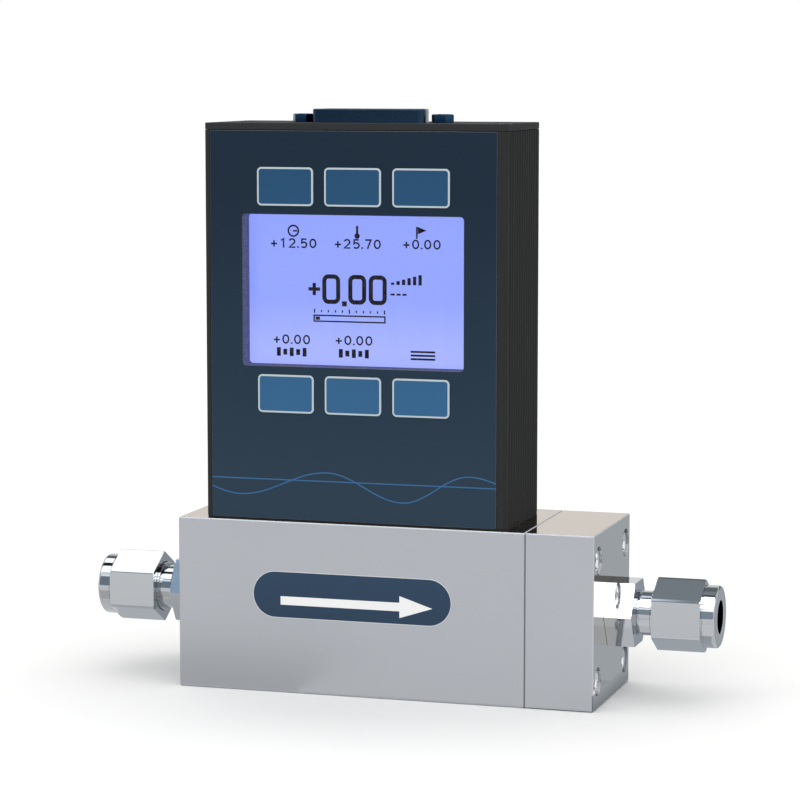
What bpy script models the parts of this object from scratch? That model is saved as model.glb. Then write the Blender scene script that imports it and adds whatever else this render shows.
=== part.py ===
"""Gas mass flow meter: a stainless flow block with a laminar element, a compression fitting at each
end, and a ribbed display housing standing on the block.

Metres, +Z up. The origin is the middle of the flow block's underside. Gas flows along +X, the display
faces -Y.
"""

import math

import bmesh
import bpy
from mathutils import Vector

MM = 0.001

# Clearances
LAYER_GAP = 0.05 * MM
FIT_GAP = 0.3 * MM
THREAD_GAP = 0.3 * MM
CUT_PAST = 1.0 * MM

# Flow block and end block
BLOCK_LENGTH = 95.0 * MM
BLOCK_DEPTH = 34.6 * MM
BLOCK_HEIGHT = 38.3 * MM
BLOCK_CHAMFER = 0.25 * MM
END_BLOCK_LENGTH = 15.3 * MM
FLOW_AXIS_HEIGHT = 19.15 * MM
CHAMBER_DIAMETER = 18.0 * MM
CHAMBER_LENGTH = 62.0 * MM
CHAMBER_CONE_LENGTH = 3.5 * MM
COLLECTOR_DIAMETER = 13.0 * MM
COLLECTOR_DEPTH = 2.5 * MM
COLLECTOR_OUTLET_DIAMETER = 7.0 * MM
PASSAGE_DIAMETER = 4.8 * MM
PORT_DEPTH = 9.5 * MM
MOUNT_HOLE_DIAMETER = 4.2 * MM
MOUNT_HOLE_DEPTH = 8.0 * MM
MOUNT_HOLE_SPACING = 50.0 * MM

# Seals
BLOCK_SEAL_SECTION = 1.6 * MM
TAP_SEAL_SECTION = 1.0 * MM

# Laminar flow element
ELEMENT_LENGTH = 20.0 * MM
ELEMENT_NOSE_LENGTH = 3.0 * MM
ELEMENT_CORE_DIAMETER = 9.0 * MM
ELEMENT_FINS = 20
ELEMENT_FIN_SHARE = 0.5
ELEMENT_SPINDLE_DIAMETER = 8.1 * MM
ELEMENT_CENTRE_X = -8.5 * MM

# Pressure taps and sensors
TAP_DIAMETER = 1.6 * MM
TAP_OFFSET = 3.5 * MM
ABSOLUTE_TAP_X = 14.3 * MM
DIFFERENTIAL_SENSOR_MARGIN = 4.0 * MM
DIFFERENTIAL_SENSOR_DEPTH = 10.0 * MM
SENSOR_HEIGHT = 6.0 * MM
ABSOLUTE_SENSOR_DIAMETER = 8.0 * MM
ABSOLUTE_SENSOR_BASE_HEIGHT = 2.4 * MM
ABSOLUTE_SENSOR_STEP = 0.8 * MM

# End block screws: socket heads, almost flush
END_SCREW_EDGE_Y = 4.3 * MM
END_SCREW_EDGE_Z = 5.95 * MM
END_SCREW_LENGTH = 20.0 * MM
END_SCREW_DIAMETER = 2.7 * MM
END_SCREW_HEAD_DIAMETER = 5.5 * MM
END_SCREW_HEAD_HEIGHT = 3.0 * MM
END_SCREW_HEAD_CHAMFER = 0.35 * MM
END_SCREW_RECESS = 0.15 * MM
END_SCREW_SOCKET_FLATS = 2.5 * MM
END_SCREW_SOCKET_DEPTH = 1.5 * MM
COUNTERBORE_GAP = 0.35 * MM

# Compression fittings, lengths counted outwards from the block's end face
BODY_HEX_FLATS = 14.0 * MM
BODY_HEX_LENGTH = 6.1 * MM
PORT_THREAD_DIAMETER = 9.8 * MM
PORT_THREAD_LENGTH = 9.1 * MM
NECK_DIAMETER = 9.8 * MM
NECK_LENGTH = 4.2 * MM
NUT_THREAD_DIAMETER = 11.1 * MM
NUT_THREAD_LENGTH = 6.8 * MM
NUT_HEX_FLATS = 14.1 * MM
NUT_HEX_LENGTH = 10.7 * MM
NUT_LENGTH = 13.9 * MM
NUT_SHOULDER_DIAMETER = 13.7 * MM
NUT_BORE_DIAMETER = 7.3 * MM
NUT_SEAT_LENGTH = 1.5 * MM
SOCKET_DIAMETER = 6.6 * MM
SOCKET_DEPTH = 8.0 * MM
MOUTH_DIAMETER = 8.6 * MM
MOUTH_LENGTH = 2.2 * MM
FERRULE_BORE_DIAMETER = 6.5 * MM
FERRULE_TIP = 0.15 * MM
FERRULE_RIM = 1.1 * MM
BACK_FERRULE_LENGTH = 1.4 * MM
HEX_CHAMFER_ANGLE = math.radians(30.0)
HEX_CROWN_INSET = 0.15 * MM
THREAD_CHAMFER = 0.6 * MM
SHOULDER_ROUND = 0.7 * MM

# Housing: an extruded tube, ribbed on both sides, with a channel for the front film
HOUSING_WIDTH = 68.3 * MM
HOUSING_DEPTH = 28.4 * MM
HOUSING_HEIGHT = 85.45 * MM
HOUSING_X = -6.8 * MM
HOUSING_Y = -2.1 * MM
HOUSING_WALL = 2.2 * MM
HOUSING_CORNER_RADIUS = 1.2 * MM
RIB_GROOVES = 12
RIB_PITCH = 2.0 * MM
RIB_GROOVE_WIDTH = 1.4 * MM
RIB_GROOVE_DEPTH = 0.5 * MM
BOARD_SLOT_Y = 6.0 * MM
RAIL_WIDTH = 1.0 * MM
RAIL_HEIGHT = 1.4 * MM
GASKET_THICKNESS = 0.3 * MM

# Top plate and the two long screws that clamp plate and housing to the block
TOP_PLATE_THICKNESS = 1.5 * MM
TOP_PLATE_BEVEL = 0.15 * MM
TIE_SCREW_DIAMETER = 2.7 * MM
TIE_SCREW_HEAD_DIAMETER = 5.4 * MM
TIE_SCREW_HEAD_HEIGHT = 1.3 * MM
TIE_SCREW_ENGAGEMENT = 6.0 * MM
TIE_SCREW_SOCKET_FLATS = 2.0 * MM
TIE_SCREW_SOCKET_DEPTH = 0.9 * MM
TIE_SCREW_RECESS = 0.05 * MM
TIE_CHANNEL_WALL = 1.3 * MM
TIE_CHANNEL_INSET = 1.5 * MM

# Front film with its window and six keys
FILM_MARGIN = 1.6 * MM
FILM_THICKNESS = 0.5 * MM
FILM_LOWER_EDGE = 0.3 * MM
FILM_UPPER_EDGE = 0.15 * MM
FILM_PROUD = 0.1 * MM
WINDOW_SIDE_MARGIN = 8.7 * MM
WINDOW_HEIGHT = 33.2 * MM
WINDOW_RADIUS = 0.8 * MM
WINDOW_STEP = 0.2 * MM
DISPLAY_HEIGHT = 50.55 * MM
KEY_WIDTH = 12.9 * MM
KEY_HEIGHT = 8.4 * MM
KEY_RADIUS = 1.0 * MM
KEY_RISE = 0.25 * MM
KEY_COLUMN_PITCH = 15.45 * MM
KEY_ROW_PITCH = 45.4 * MM
KEY_BEVEL = 0.08 * MM

# Display stack behind the window
LENS_MARGIN = 2.2 * MM
LENS_THICKNESS = 1.0 * MM
FRAME_MARGIN = 3.2 * MM
FRAME_LIP_THICKNESS = 0.4 * MM
FRAME_LIP_WIDTH = 1.2 * MM
FRAME_WALL = 0.6 * MM
PANEL_THICKNESS = 1.6 * MM
BACKLIGHT_THICKNESS = 2.0 * MM
BOARD_THICKNESS = 1.6 * MM
DISPLAY_BOARD_MARGIN = 4.4 * MM
BOARD_HOLE_DIAMETER = 2.2 * MM
BOARD_HOLE_EDGE = 2.2 * MM
BOARD_CORNER_RADIUS = 0.8 * MM

# Electronics
MAIN_BOARD_UPPER_EDGE = 18.0 * MM
SENSOR_BOARD_WIDTH = 50.0 * MM
SENSOR_BOARD_DEPTH = 18.0 * MM
PROCESSOR_SIZE = 12.0 * MM
PROCESSOR_THICKNESS = 1.4 * MM
HEADER_WIDTH = 22.0 * MM
HEADER_HEIGHT = 5.0 * MM

# Fifteen-way connector on the top plate
CONNECTOR_WIDTH = 25.6 * MM
CONNECTOR_DEPTH = 8.2 * MM
CONNECTOR_SLANT = math.radians(10.0)
CONNECTOR_RADIUS = 2.0 * MM
CONNECTOR_RISE = 2.95 * MM
SHELL_THICKNESS = 0.5 * MM
FLANGE_WIDTH = 39.1 * MM
FLANGE_DEPTH = 12.5 * MM
FLANGE_THICKNESS = 1.0 * MM
INSULATOR_RECESS = 0.3 * MM
INSULATOR_TAIL = 4.0 * MM
CONTACT_DIAMETER = 1.2 * MM
CONTACT_DEPTH = 3.0 * MM
CONTACT_PITCH = 2.74 * MM
CONTACT_ROW_PITCH = 2.84 * MM
CONTACTS_IN_WIDE_ROW = 8
JACK_SPACING = 32.1 * MM
JACK_FLATS = 4.75 * MM
JACK_RISE = 1.8 * MM
JACK_STEM_DIAMETER = 2.8 * MM
JACK_STEM_LENGTH = 4.5 * MM
JACK_STEM_INLET = 0.45 * MM
JACK_BORE_DIAMETER = 2.3 * MM
JACK_BORE_DEPTH = 1.3 * MM
CONNECTOR_BOARD_MARGIN = 3.0 * MM

# Facets
FITTING_STEPS = 32
BORE_STEPS = 32
SCREW_STEPS = 20
HOLE_STEPS = 16
CONTACT_STEPS = 8
RING_SECTION_STEPS = 6
FILLET_STEPS = 3
SHARP_ANGLE = math.radians(35.0)
CHAMFERED_ANGLE = math.radians(40.0)
WELD_DISTANCE = 0.0005 * MM

# Turns that bring a piece's own Z axis along X, against X, or out of the display
ALONG_X = (0.0, math.radians(90.0), 0.0)
AGAINST_X = (0.0, math.radians(-90.0), 0.0)
FACING_FRONT = (math.radians(90.0), 0.0, 0.0)
FACING_BACK = (math.radians(-90.0), 0.0, 0.0)

# Places worked out from the sizes above
JOINT_X = BLOCK_LENGTH / 2 - END_BLOCK_LENGTH
CHAMBER_RADIUS = CHAMBER_DIAMETER / 2
PASSAGE_RADIUS = PASSAGE_DIAMETER / 2
HOUSING_BASE = BLOCK_HEIGHT + GASKET_THICKNESS + 2 * LAYER_GAP
HOUSING_TOP = HOUSING_BASE + HOUSING_HEIGHT
PLATE_BASE = HOUSING_TOP + LAYER_GAP
PLATE_TOP = PLATE_BASE + TOP_PLATE_THICKNESS
DISPLAY_Z = HOUSING_BASE + DISPLAY_HEIGHT
FILM_WIDTH = HOUSING_WIDTH - 2 * FILM_MARGIN
WINDOW_WIDTH = HOUSING_WIDTH - 2 * WINDOW_SIDE_MARGIN
CHANNEL_DEPTH = FILM_THICKNESS + LAYER_GAP - FILM_PROUD
CHANNEL_FLOOR_Y = -HOUSING_DEPTH / 2 + CHANNEL_DEPTH
INNER_FRONT_Y = CHANNEL_FLOOR_Y + HOUSING_WALL
INNER_BACK_Y = HOUSING_DEPTH / 2 - HOUSING_WALL
INNER_HALF_WIDTH = HOUSING_WIDTH / 2 - HOUSING_WALL
TIE_SCREW_X = INNER_HALF_WIDTH - TIE_CHANNEL_INSET
TIE_HOLE_RADIUS = TIE_SCREW_DIAMETER / 2 + FIT_GAP
TIE_CHANNEL_RADIUS = TIE_HOLE_RADIUS + TIE_CHANNEL_WALL
NUT_START = BODY_HEX_LENGTH + NECK_LENGTH
BODY_END = NUT_START + NUT_THREAD_LENGTH
UPSTREAM_TAP_X = ELEMENT_CENTRE_X - ELEMENT_LENGTH / 2 - TAP_OFFSET
DOWNSTREAM_TAP_X = ELEMENT_CENTRE_X + ELEMENT_LENGTH / 2 + TAP_OFFSET
TAP_SEAL_RADIUS = TAP_DIAMETER / 2 + FIT_GAP + TAP_SEAL_SECTION / 2
SENSOR_BASE = BLOCK_HEIGHT + LAYER_GAP
SENSOR_BOARD_BASE = SENSOR_BASE + SENSOR_HEIGHT + FIT_GAP


def clear_scene():
    """Remove every object that the file holds."""
    for item in list(bpy.data.objects):
        bpy.data.objects.remove(item, do_unlink=True)


def material(name, colour, roughness, metallic=0.0):
    """Principled material with one colour, roughness and metallic value."""
    made = bpy.data.materials.new(name)
    made.use_nodes = True
    shader = made.node_tree.nodes["Principled BSDF"]
    shader.inputs["Base Color"].default_value = (*colour, 1.0)
    shader.inputs["Roughness"].default_value = roughness
    shader.inputs["Metallic"].default_value = metallic
    return made


def steel(name):
    return material(name, (0.56, 0.57, 0.58), 0.22, 1.0)


def rubber(name):
    return material(name, (0.02, 0.02, 0.02), 0.7)


def board_green(name):
    return material(name, (0.03, 0.16, 0.08), 0.45)


def empty(name, location=(0.0, 0.0, 0.0), rotation=(0.0, 0.0, 0.0), parent=None):
    """Axis object that carries the pieces of one group."""
    made = bpy.data.objects.new(name, None)
    made.location = location
    made.rotation_euler = rotation
    made.parent = parent
    bpy.context.collection.objects.link(made)
    return made


def place(name, mesh, surface, parent, location=(0.0, 0.0, 0.0), rotation=(0.0, 0.0, 0.0)):
    """Object with its own material, placed under its group."""
    made = bpy.data.objects.new(name, mesh)
    made.location = location
    made.rotation_euler = rotation
    made.parent = parent
    bpy.context.collection.objects.link(made)
    if surface is not None:
        made.data.materials.append(surface)
    return made


def finish_mesh(name, work):
    """Turn the faces outwards and make a mesh that is smooth except at its edges."""
    bmesh.ops.recalc_face_normals(work, faces=work.faces[:])
    for face in work.faces:
        face.material_index = 0
    mesh = bpy.data.meshes.new(name)
    work.to_mesh(mesh)
    work.free()
    mesh.shade_smooth()
    mesh.set_sharp_from_angle(angle=SHARP_ANGLE)
    return mesh


def cut(target, cutter, operation="DIFFERENCE"):
    """Cut one piece with another, which is then only a guide."""
    modifier = target.modifiers.new(cutter.name, "BOOLEAN")
    modifier.operation = operation
    modifier.solver = "EXACT"
    modifier.object = cutter
    cutter.hide_render = True
    cutter.display_type = "WIRE"


def chamfer_edges(target, width):
    """Chamfer every sharp edge of a piece."""
    modifier = target.modifiers.new("edge chamfer", "BEVEL")
    modifier.width = width
    modifier.segments = 1
    modifier.limit_method = "ANGLE"
    modifier.angle_limit = CHAMFERED_ANGLE


def arc(centre, radius, start, end, steps):
    """Points of an arc from one angle to another, both ends included."""
    turn = (end - start) / steps
    return [
        (centre[0] + radius * math.cos(start + turn * i), centre[1] + radius * math.sin(start + turn * i))
        for i in range(steps + 1)
    ]


def circle(radius, steps, centre=(0.0, 0.0)):
    return arc(centre, radius, 0.0, 2 * math.pi, steps)[:-1]


def hexagon(flats, first_corner=0.0):
    """Hexagon of a width across flats, its first corner at an angle."""
    return arc((0.0, 0.0), flats / math.sqrt(3.0), first_corner, first_corner + 2 * math.pi, 6)[:-1]


def rectangle(width, height, centre=(0.0, 0.0)):
    x, y = centre
    return [
        (x - width / 2, y - height / 2),
        (x + width / 2, y - height / 2),
        (x + width / 2, y + height / 2),
        (x - width / 2, y + height / 2),
    ]


def rounded(corners, radius, steps=FILLET_STEPS):
    """Fillet every corner of a convex outline that runs anticlockwise."""
    points = []
    for i, corner in enumerate(corners):
        here = Vector(corner)
        back = (Vector(corners[i - 1]) - here).normalized()
        ahead = (Vector(corners[(i + 1) % len(corners)]) - here).normalized()
        half = back.angle(ahead) / 2
        centre = here + (back + ahead).normalized() * radius / math.sin(half)
        first = here + back * radius / math.tan(half) - centre
        start = math.atan2(first.y, first.x)
        points += arc(centre, radius, start, start + math.pi - 2 * half, steps)
    return points


def rounded_rectangle(width, height, radius, centre=(0.0, 0.0)):
    return rounded(rectangle(width, height, centre), radius)


def add_loop(work, points, height=0.0):
    """Closed loop of edges in a plane."""
    corners = [work.verts.new((x, y, height)) for x, y in points]
    return [work.edges.new((corners[i - 1], corners[i])) for i in range(len(corners))]


def raise_faces(work, faces, height):
    """Extrude faces straight up by a height."""
    borders = {edge for face in faces for edge in face.edges}
    grown = bmesh.ops.extrude_face_region(work, geom=list(faces) + list(borders))["geom"]
    moved = [item for item in grown if isinstance(item, bmesh.types.BMVert)]
    bmesh.ops.translate(work, verts=moved, vec=(0.0, 0.0, height))


def prism(name, outlines, height, base=0.0):
    """Straight solid on an outline, with the further outlines as holes."""
    work = bmesh.new()
    edges = []
    for outline in outlines:
        edges += add_loop(work, outline, base)
    bmesh.ops.triangle_fill(work, use_beauty=True, edges=edges, normal=(0.0, 0.0, 1.0))
    raise_faces(work, work.faces[:], height)
    return finish_mesh(name, work)


def stepped_prism(name, low, shared, high, low_height, high_height):
    """Plate between the low outlines and a shared one, and a taller ring from there to the high one."""
    work = bmesh.new()
    shared_edges = add_loop(work, shared)
    low_edges = [edge for outline in low for edge in add_loop(work, outline)]
    high_edges = add_loop(work, high)
    bmesh.ops.triangle_fill(work, use_beauty=True, edges=shared_edges + low_edges, normal=(0.0, 0.0, 1.0))
    low_faces = set(work.faces)
    bmesh.ops.triangle_fill(work, use_beauty=True, edges=shared_edges + high_edges, normal=(0.0, 0.0, 1.0))
    for face in work.faces:
        face.material_index = 0 if face in low_faces else 1
    raise_faces(work, work.faces[:], low_height)
    ring = [
        face
        for face in work.faces
        if face.material_index == 1 and min(corner.co.z for corner in face.verts) > low_height / 2
    ]
    raise_faces(work, ring, high_height - low_height)
    return finish_mesh(name, work)


def spin_profile(work, profile, steps, closed):
    """Turn a profile of radius and height points once about the local Z axis."""
    corners = [work.verts.new((radius, 0.0, height)) for radius, height in profile]
    pairs = list(zip(corners, corners[1:]))
    if closed:
        pairs.append((corners[-1], corners[0]))
    edges = [work.edges.new(pair) for pair in pairs]
    bmesh.ops.spin(
        work,
        geom=corners + edges,
        cent=(0.0, 0.0, 0.0),
        axis=(0.0, 0.0, 1.0),
        angle=2 * math.pi,
        steps=steps,
        use_merge=True,
    )
    bmesh.ops.remove_doubles(work, verts=work.verts[:], dist=WELD_DISTANCE)


def turned(name, profile, steps):
    """Turned solid from a closed profile, or from one that starts and ends on the axis."""
    work = bmesh.new()
    on_axis = profile[0][0] == 0.0 and profile[-1][0] == 0.0
    spin_profile(work, profile, steps, closed=not on_axis)
    return finish_mesh(name, work)


def ring(name, radius, section, steps):
    """Ring of round section, such as a seal."""
    profile = circle(section / 2, RING_SECTION_STEPS, (radius, 0.0))
    return turned(name, profile, steps)


def socket_screw(name, profile, socket_flats, socket_depth):
    """Screw whose profile runs from its tip on the axis to the rim of its head, with a hexagon socket."""
    work = bmesh.new()
    spin_profile(work, profile, SCREW_STEPS, closed=False)
    top = profile[-1][1]
    rim = [edge for edge in work.edges if edge.is_boundary]
    mouth = add_loop(work, hexagon(socket_flats), top)
    bmesh.ops.triangle_fill(work, use_beauty=True, edges=rim + mouth, normal=(0.0, 0.0, 1.0))
    walls = bmesh.ops.extrude_edge_only(work, edges=mouth)["geom"]
    floor = [item for item in walls if isinstance(item, bmesh.types.BMVert)]
    bmesh.ops.translate(work, verts=floor, vec=(0.0, 0.0, -socket_depth))
    floor_edges = [edge for edge in work.edges if edge.is_boundary]
    bmesh.ops.triangle_fill(work, use_beauty=True, edges=floor_edges, normal=(0.0, 0.0, 1.0))
    return finish_mesh(name, work)


def cylinder_cutter(name, radius, length, parent, location, rotation=(0.0, 0.0, 0.0), steps=HOLE_STEPS):
    """Round cutter that starts at its origin and runs along its local Z axis."""
    mesh = prism(name, [circle(radius, steps)], length)
    return place(name, mesh, None, parent, location, rotation)


def chamfered_box(name, low, high, surface, parent):
    """Block between two corners, with a narrow chamfer on every edge."""
    mesh = prism(name, [[(low[0], low[1]), (high[0], low[1]), (high[0], high[1]), (low[0], high[1])]],
                 high[2] - low[2], low[2])
    made = place(name, mesh, surface, parent)
    chamfer_edges(made, BLOCK_CHAMFER)
    return made


def end_screw_places():
    """Centres of the four end block screws as depth and height."""
    reach_y = BLOCK_DEPTH / 2 - END_SCREW_EDGE_Y
    return [
        (side * reach_y, height)
        for height in (BLOCK_HEIGHT - END_SCREW_EDGE_Z, END_SCREW_EDGE_Z)
        for side in (-1, 1)
    ]


def build_flow_body(parent):
    """Main block: stepped bore, seal ledge, pressure taps, screw holes and mounting holes."""
    body = chamfered_box(
        "flow_body",
        (-BLOCK_LENGTH / 2, -BLOCK_DEPTH / 2, 0.0),
        (JOINT_X - LAYER_GAP / 2, BLOCK_DEPTH / 2, BLOCK_HEIGHT),
        steel("brushed stainless block"),
        parent,
    )
    seal_ledge_radius = CHAMBER_RADIUS + 2 * FIT_GAP + BLOCK_SEAL_SECTION
    seal_ledge_depth = BLOCK_SEAL_SECTION + FIT_GAP
    body_length = BLOCK_LENGTH - END_BLOCK_LENGTH
    port_radius = PORT_THREAD_DIAMETER / 2 + THREAD_GAP
    bore = turned(
        "chamber_cutter",
        [
            (0.0, -CUT_PAST),
            (seal_ledge_radius, -CUT_PAST),
            (seal_ledge_radius, seal_ledge_depth),
            (CHAMBER_RADIUS, seal_ledge_depth),
            (CHAMBER_RADIUS, CHAMBER_LENGTH),
            (PASSAGE_RADIUS, CHAMBER_LENGTH + CHAMBER_CONE_LENGTH),
            (PASSAGE_RADIUS, body_length - PORT_DEPTH),
            (port_radius, body_length - PORT_DEPTH),
            (port_radius, body_length + CUT_PAST),
            (0.0, body_length + CUT_PAST),
        ],
        BORE_STEPS,
    )
    cut(body, place("chamber_cutter", bore, None, parent, (JOINT_X, 0.0, FLOW_AXIS_HEIGHT), AGAINST_X))

    tap_seat_radius = TAP_SEAL_RADIUS + TAP_SEAL_SECTION / 2 + FIT_GAP
    tap_seat_depth = TAP_SEAL_SECTION + FIT_GAP
    tap_depth = BLOCK_HEIGHT - FLOW_AXIS_HEIGHT
    tap = turned(
        "tap_cutter",
        [
            (0.0, CUT_PAST),
            (tap_seat_radius, CUT_PAST),
            (tap_seat_radius, -tap_seat_depth),
            (TAP_DIAMETER / 2, -tap_seat_depth),
            (TAP_DIAMETER / 2, -tap_depth),
            (0.0, -tap_depth),
        ],
        HOLE_STEPS,
    )
    for i, x in enumerate((UPSTREAM_TAP_X, DOWNSTREAM_TAP_X, ABSOLUTE_TAP_X), start=1):
        cut(body, place(f"tap_cutter_{i}", tap, None, parent, (x, 0.0, BLOCK_HEIGHT)))

    thread_radius = END_SCREW_DIAMETER / 2 + THREAD_GAP
    reach = END_SCREW_LENGTH - grip_length() + FIT_GAP
    for i, (y, z) in enumerate(end_screw_places(), start=1):
        cut(body, cylinder_cutter(f"end_thread_cutter_{i}", thread_radius, reach + CUT_PAST, parent,
                                  (JOINT_X - reach, y, z), ALONG_X))

    tie_radius = TIE_SCREW_DIAMETER / 2 + THREAD_GAP
    tie_depth = TIE_SCREW_ENGAGEMENT + FIT_GAP
    for i, side in enumerate((-1, 1), start=1):
        cut(body, cylinder_cutter(f"tie_thread_cutter_{i}", tie_radius, tie_depth + CUT_PAST, parent,
                                  (HOUSING_X + side * TIE_SCREW_X, HOUSING_Y, BLOCK_HEIGHT - tie_depth)))

    body_centre_x = (JOINT_X - BLOCK_LENGTH / 2) / 2
    for i, side in enumerate((-1, 1), start=1):
        cut(body, cylinder_cutter(f"mount_hole_cutter_{i}", MOUNT_HOLE_DIAMETER / 2,
                                  MOUNT_HOLE_DEPTH + CUT_PAST, parent,
                                  (body_centre_x + side * MOUNT_HOLE_SPACING / 2, 0.0, -CUT_PAST)))


def grip_length():
    """Length of end block between a screw head's seat and the joint."""
    return END_BLOCK_LENGTH - END_SCREW_RECESS - END_SCREW_HEAD_HEIGHT


def build_end_block(parent):
    """Outlet block with its collector, port and four counterbored screw holes."""
    block = chamfered_box(
        "end_block",
        (JOINT_X + LAYER_GAP / 2, -BLOCK_DEPTH / 2, 0.0),
        (BLOCK_LENGTH / 2, BLOCK_DEPTH / 2, BLOCK_HEIGHT),
        steel("brushed stainless end block"),
        parent,
    )
    port_radius = PORT_THREAD_DIAMETER / 2 + THREAD_GAP
    passage_end = END_BLOCK_LENGTH - PORT_DEPTH
    bore = turned(
        "collector_cutter",
        [
            (0.0, -CUT_PAST),
            (COLLECTOR_DIAMETER / 2, -CUT_PAST),
            (COLLECTOR_DIAMETER / 2, 0.0),
            (COLLECTOR_OUTLET_DIAMETER / 2, COLLECTOR_DEPTH),
            (COLLECTOR_OUTLET_DIAMETER / 2, passage_end),
            (port_radius, passage_end),
            (port_radius, END_BLOCK_LENGTH + CUT_PAST),
            (0.0, END_BLOCK_LENGTH + CUT_PAST),
        ],
        BORE_STEPS,
    )
    cut(block, place("collector_cutter", bore, None, parent, (JOINT_X, 0.0, FLOW_AXIS_HEIGHT), ALONG_X))

    head_radius = END_SCREW_HEAD_DIAMETER / 2 + COUNTERBORE_GAP
    shank_radius = END_SCREW_DIAMETER / 2 + FIT_GAP
    seat = grip_length() - FIT_GAP
    hole = turned(
        "screw_hole_cutter",
        [
            (0.0, -CUT_PAST),
            (shank_radius, -CUT_PAST),
            (shank_radius, seat),
            (head_radius, seat),
            (head_radius, END_BLOCK_LENGTH + CUT_PAST),
            (0.0, END_BLOCK_LENGTH + CUT_PAST),
        ],
        SCREW_STEPS,
    )
    for i, (y, z) in enumerate(end_screw_places(), start=1):
        cut(block, place(f"screw_hole_cutter_{i}", hole, None, parent, (JOINT_X, y, z), ALONG_X))


def build_end_screws(parent):
    """Four cap screws that hold the end block."""
    head_radius = END_SCREW_HEAD_DIAMETER / 2
    shank_radius = END_SCREW_DIAMETER / 2
    profile = [
        (0.0, -END_SCREW_LENGTH),
        (shank_radius - THREAD_CHAMFER / 2, -END_SCREW_LENGTH),
        (shank_radius, THREAD_CHAMFER - END_SCREW_LENGTH),
        (shank_radius, 0.0),
        (head_radius, 0.0),
        (head_radius, END_SCREW_HEAD_HEIGHT - END_SCREW_HEAD_CHAMFER),
        (head_radius - END_SCREW_HEAD_CHAMFER, END_SCREW_HEAD_HEIGHT),
    ]
    mesh = socket_screw("end_screw", profile, END_SCREW_SOCKET_FLATS, END_SCREW_SOCKET_DEPTH)
    mesh.materials.append(steel("polished screw steel"))
    seat_x = BLOCK_LENGTH / 2 - END_SCREW_RECESS - END_SCREW_HEAD_HEIGHT
    for i, (y, z) in enumerate(end_screw_places(), start=1):
        place(f"end_screw_{i}", mesh, None, parent, (seat_x, y, z), ALONG_X)


def build_block_seals(parent):
    """Seal between the two blocks and one small seal at each pressure tap."""
    radius = CHAMBER_RADIUS + FIT_GAP + BLOCK_SEAL_SECTION / 2
    mesh = ring("end_block_seal", radius, BLOCK_SEAL_SECTION, BORE_STEPS)
    centre_x = JOINT_X - LAYER_GAP / 2 - BLOCK_SEAL_SECTION / 2
    place("end_block_seal", mesh, rubber("seal rubber"), parent, (centre_x, 0.0, FLOW_AXIS_HEIGHT), ALONG_X)

    tap_ring = ring("tap_seal", TAP_SEAL_RADIUS, TAP_SEAL_SECTION, HOLE_STEPS)
    tap_ring.materials.append(rubber("tap seal rubber"))
    height = BLOCK_HEIGHT - TAP_SEAL_SECTION / 2
    for i, x in enumerate((UPSTREAM_TAP_X, DOWNSTREAM_TAP_X, ABSOLUTE_TAP_X), start=1):
        place(f"tap_seal_{i}", tap_ring, None, parent, (x, 0.0, height))


def build_flow_element(parent):
    """Laminar element: a spindle with pointed noses and radial fins that split the gas into slots."""
    tip = CHAMBER_RADIUS - FIT_GAP
    core = ELEMENT_CORE_DIAMETER / 2
    pitch = 2 * math.pi / ELEMENT_FINS
    half_fin = pitch * ELEMENT_FIN_SHARE / 2
    outline = []
    for fin in range(ELEMENT_FINS):
        for radius, turn in ((core, -half_fin), (tip, -half_fin), (tip, half_fin), (core, half_fin)):
            angle = pitch * fin + turn
            outline.append((radius * math.cos(angle), radius * math.sin(angle)))
    work = bmesh.new()
    edges = add_loop(work, outline, -ELEMENT_LENGTH / 2)
    bmesh.ops.triangle_fill(work, use_beauty=True, edges=edges, normal=(0.0, 0.0, 1.0))
    raise_faces(work, work.faces[:], ELEMENT_LENGTH)
    element = place("flow_element", finish_mesh("flow_element", work), steel("laminar element steel"), parent,
                    (ELEMENT_CENTRE_X, 0.0, FLOW_AXIS_HEIGHT), ALONG_X)
    half_length = ELEMENT_LENGTH / 2 + ELEMENT_NOSE_LENGTH
    nose_radius = ELEMENT_SPINDLE_DIAMETER / 2
    spindle = turned(
        "spindle_guide",
        [
            (0.0, -half_length),
            (nose_radius, -ELEMENT_LENGTH / 2),
            (nose_radius, ELEMENT_LENGTH / 2),
            (0.0, half_length),
        ],
        HOLE_STEPS,
    )
    guide = place("spindle_guide", spindle, None, parent, (ELEMENT_CENTRE_X, 0.0, FLOW_AXIS_HEIGHT), ALONG_X)
    cut(element, guide, "UNION")


def hexed(name, profile, flats, first_corner, surface, parent):
    """Turned blank milled to a hexagon, as bar stock is."""
    made = place(name, turned(name, profile, FITTING_STEPS), surface, parent)
    heights = [height for _, height in profile]
    low = min(heights) - CUT_PAST
    length = max(heights) + CUT_PAST - low
    stock = prism(f"{name}_stock", [hexagon(flats, first_corner)], length, low)
    cut(made, place(f"{name}_stock", stock, None, parent), "INTERSECT")


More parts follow.
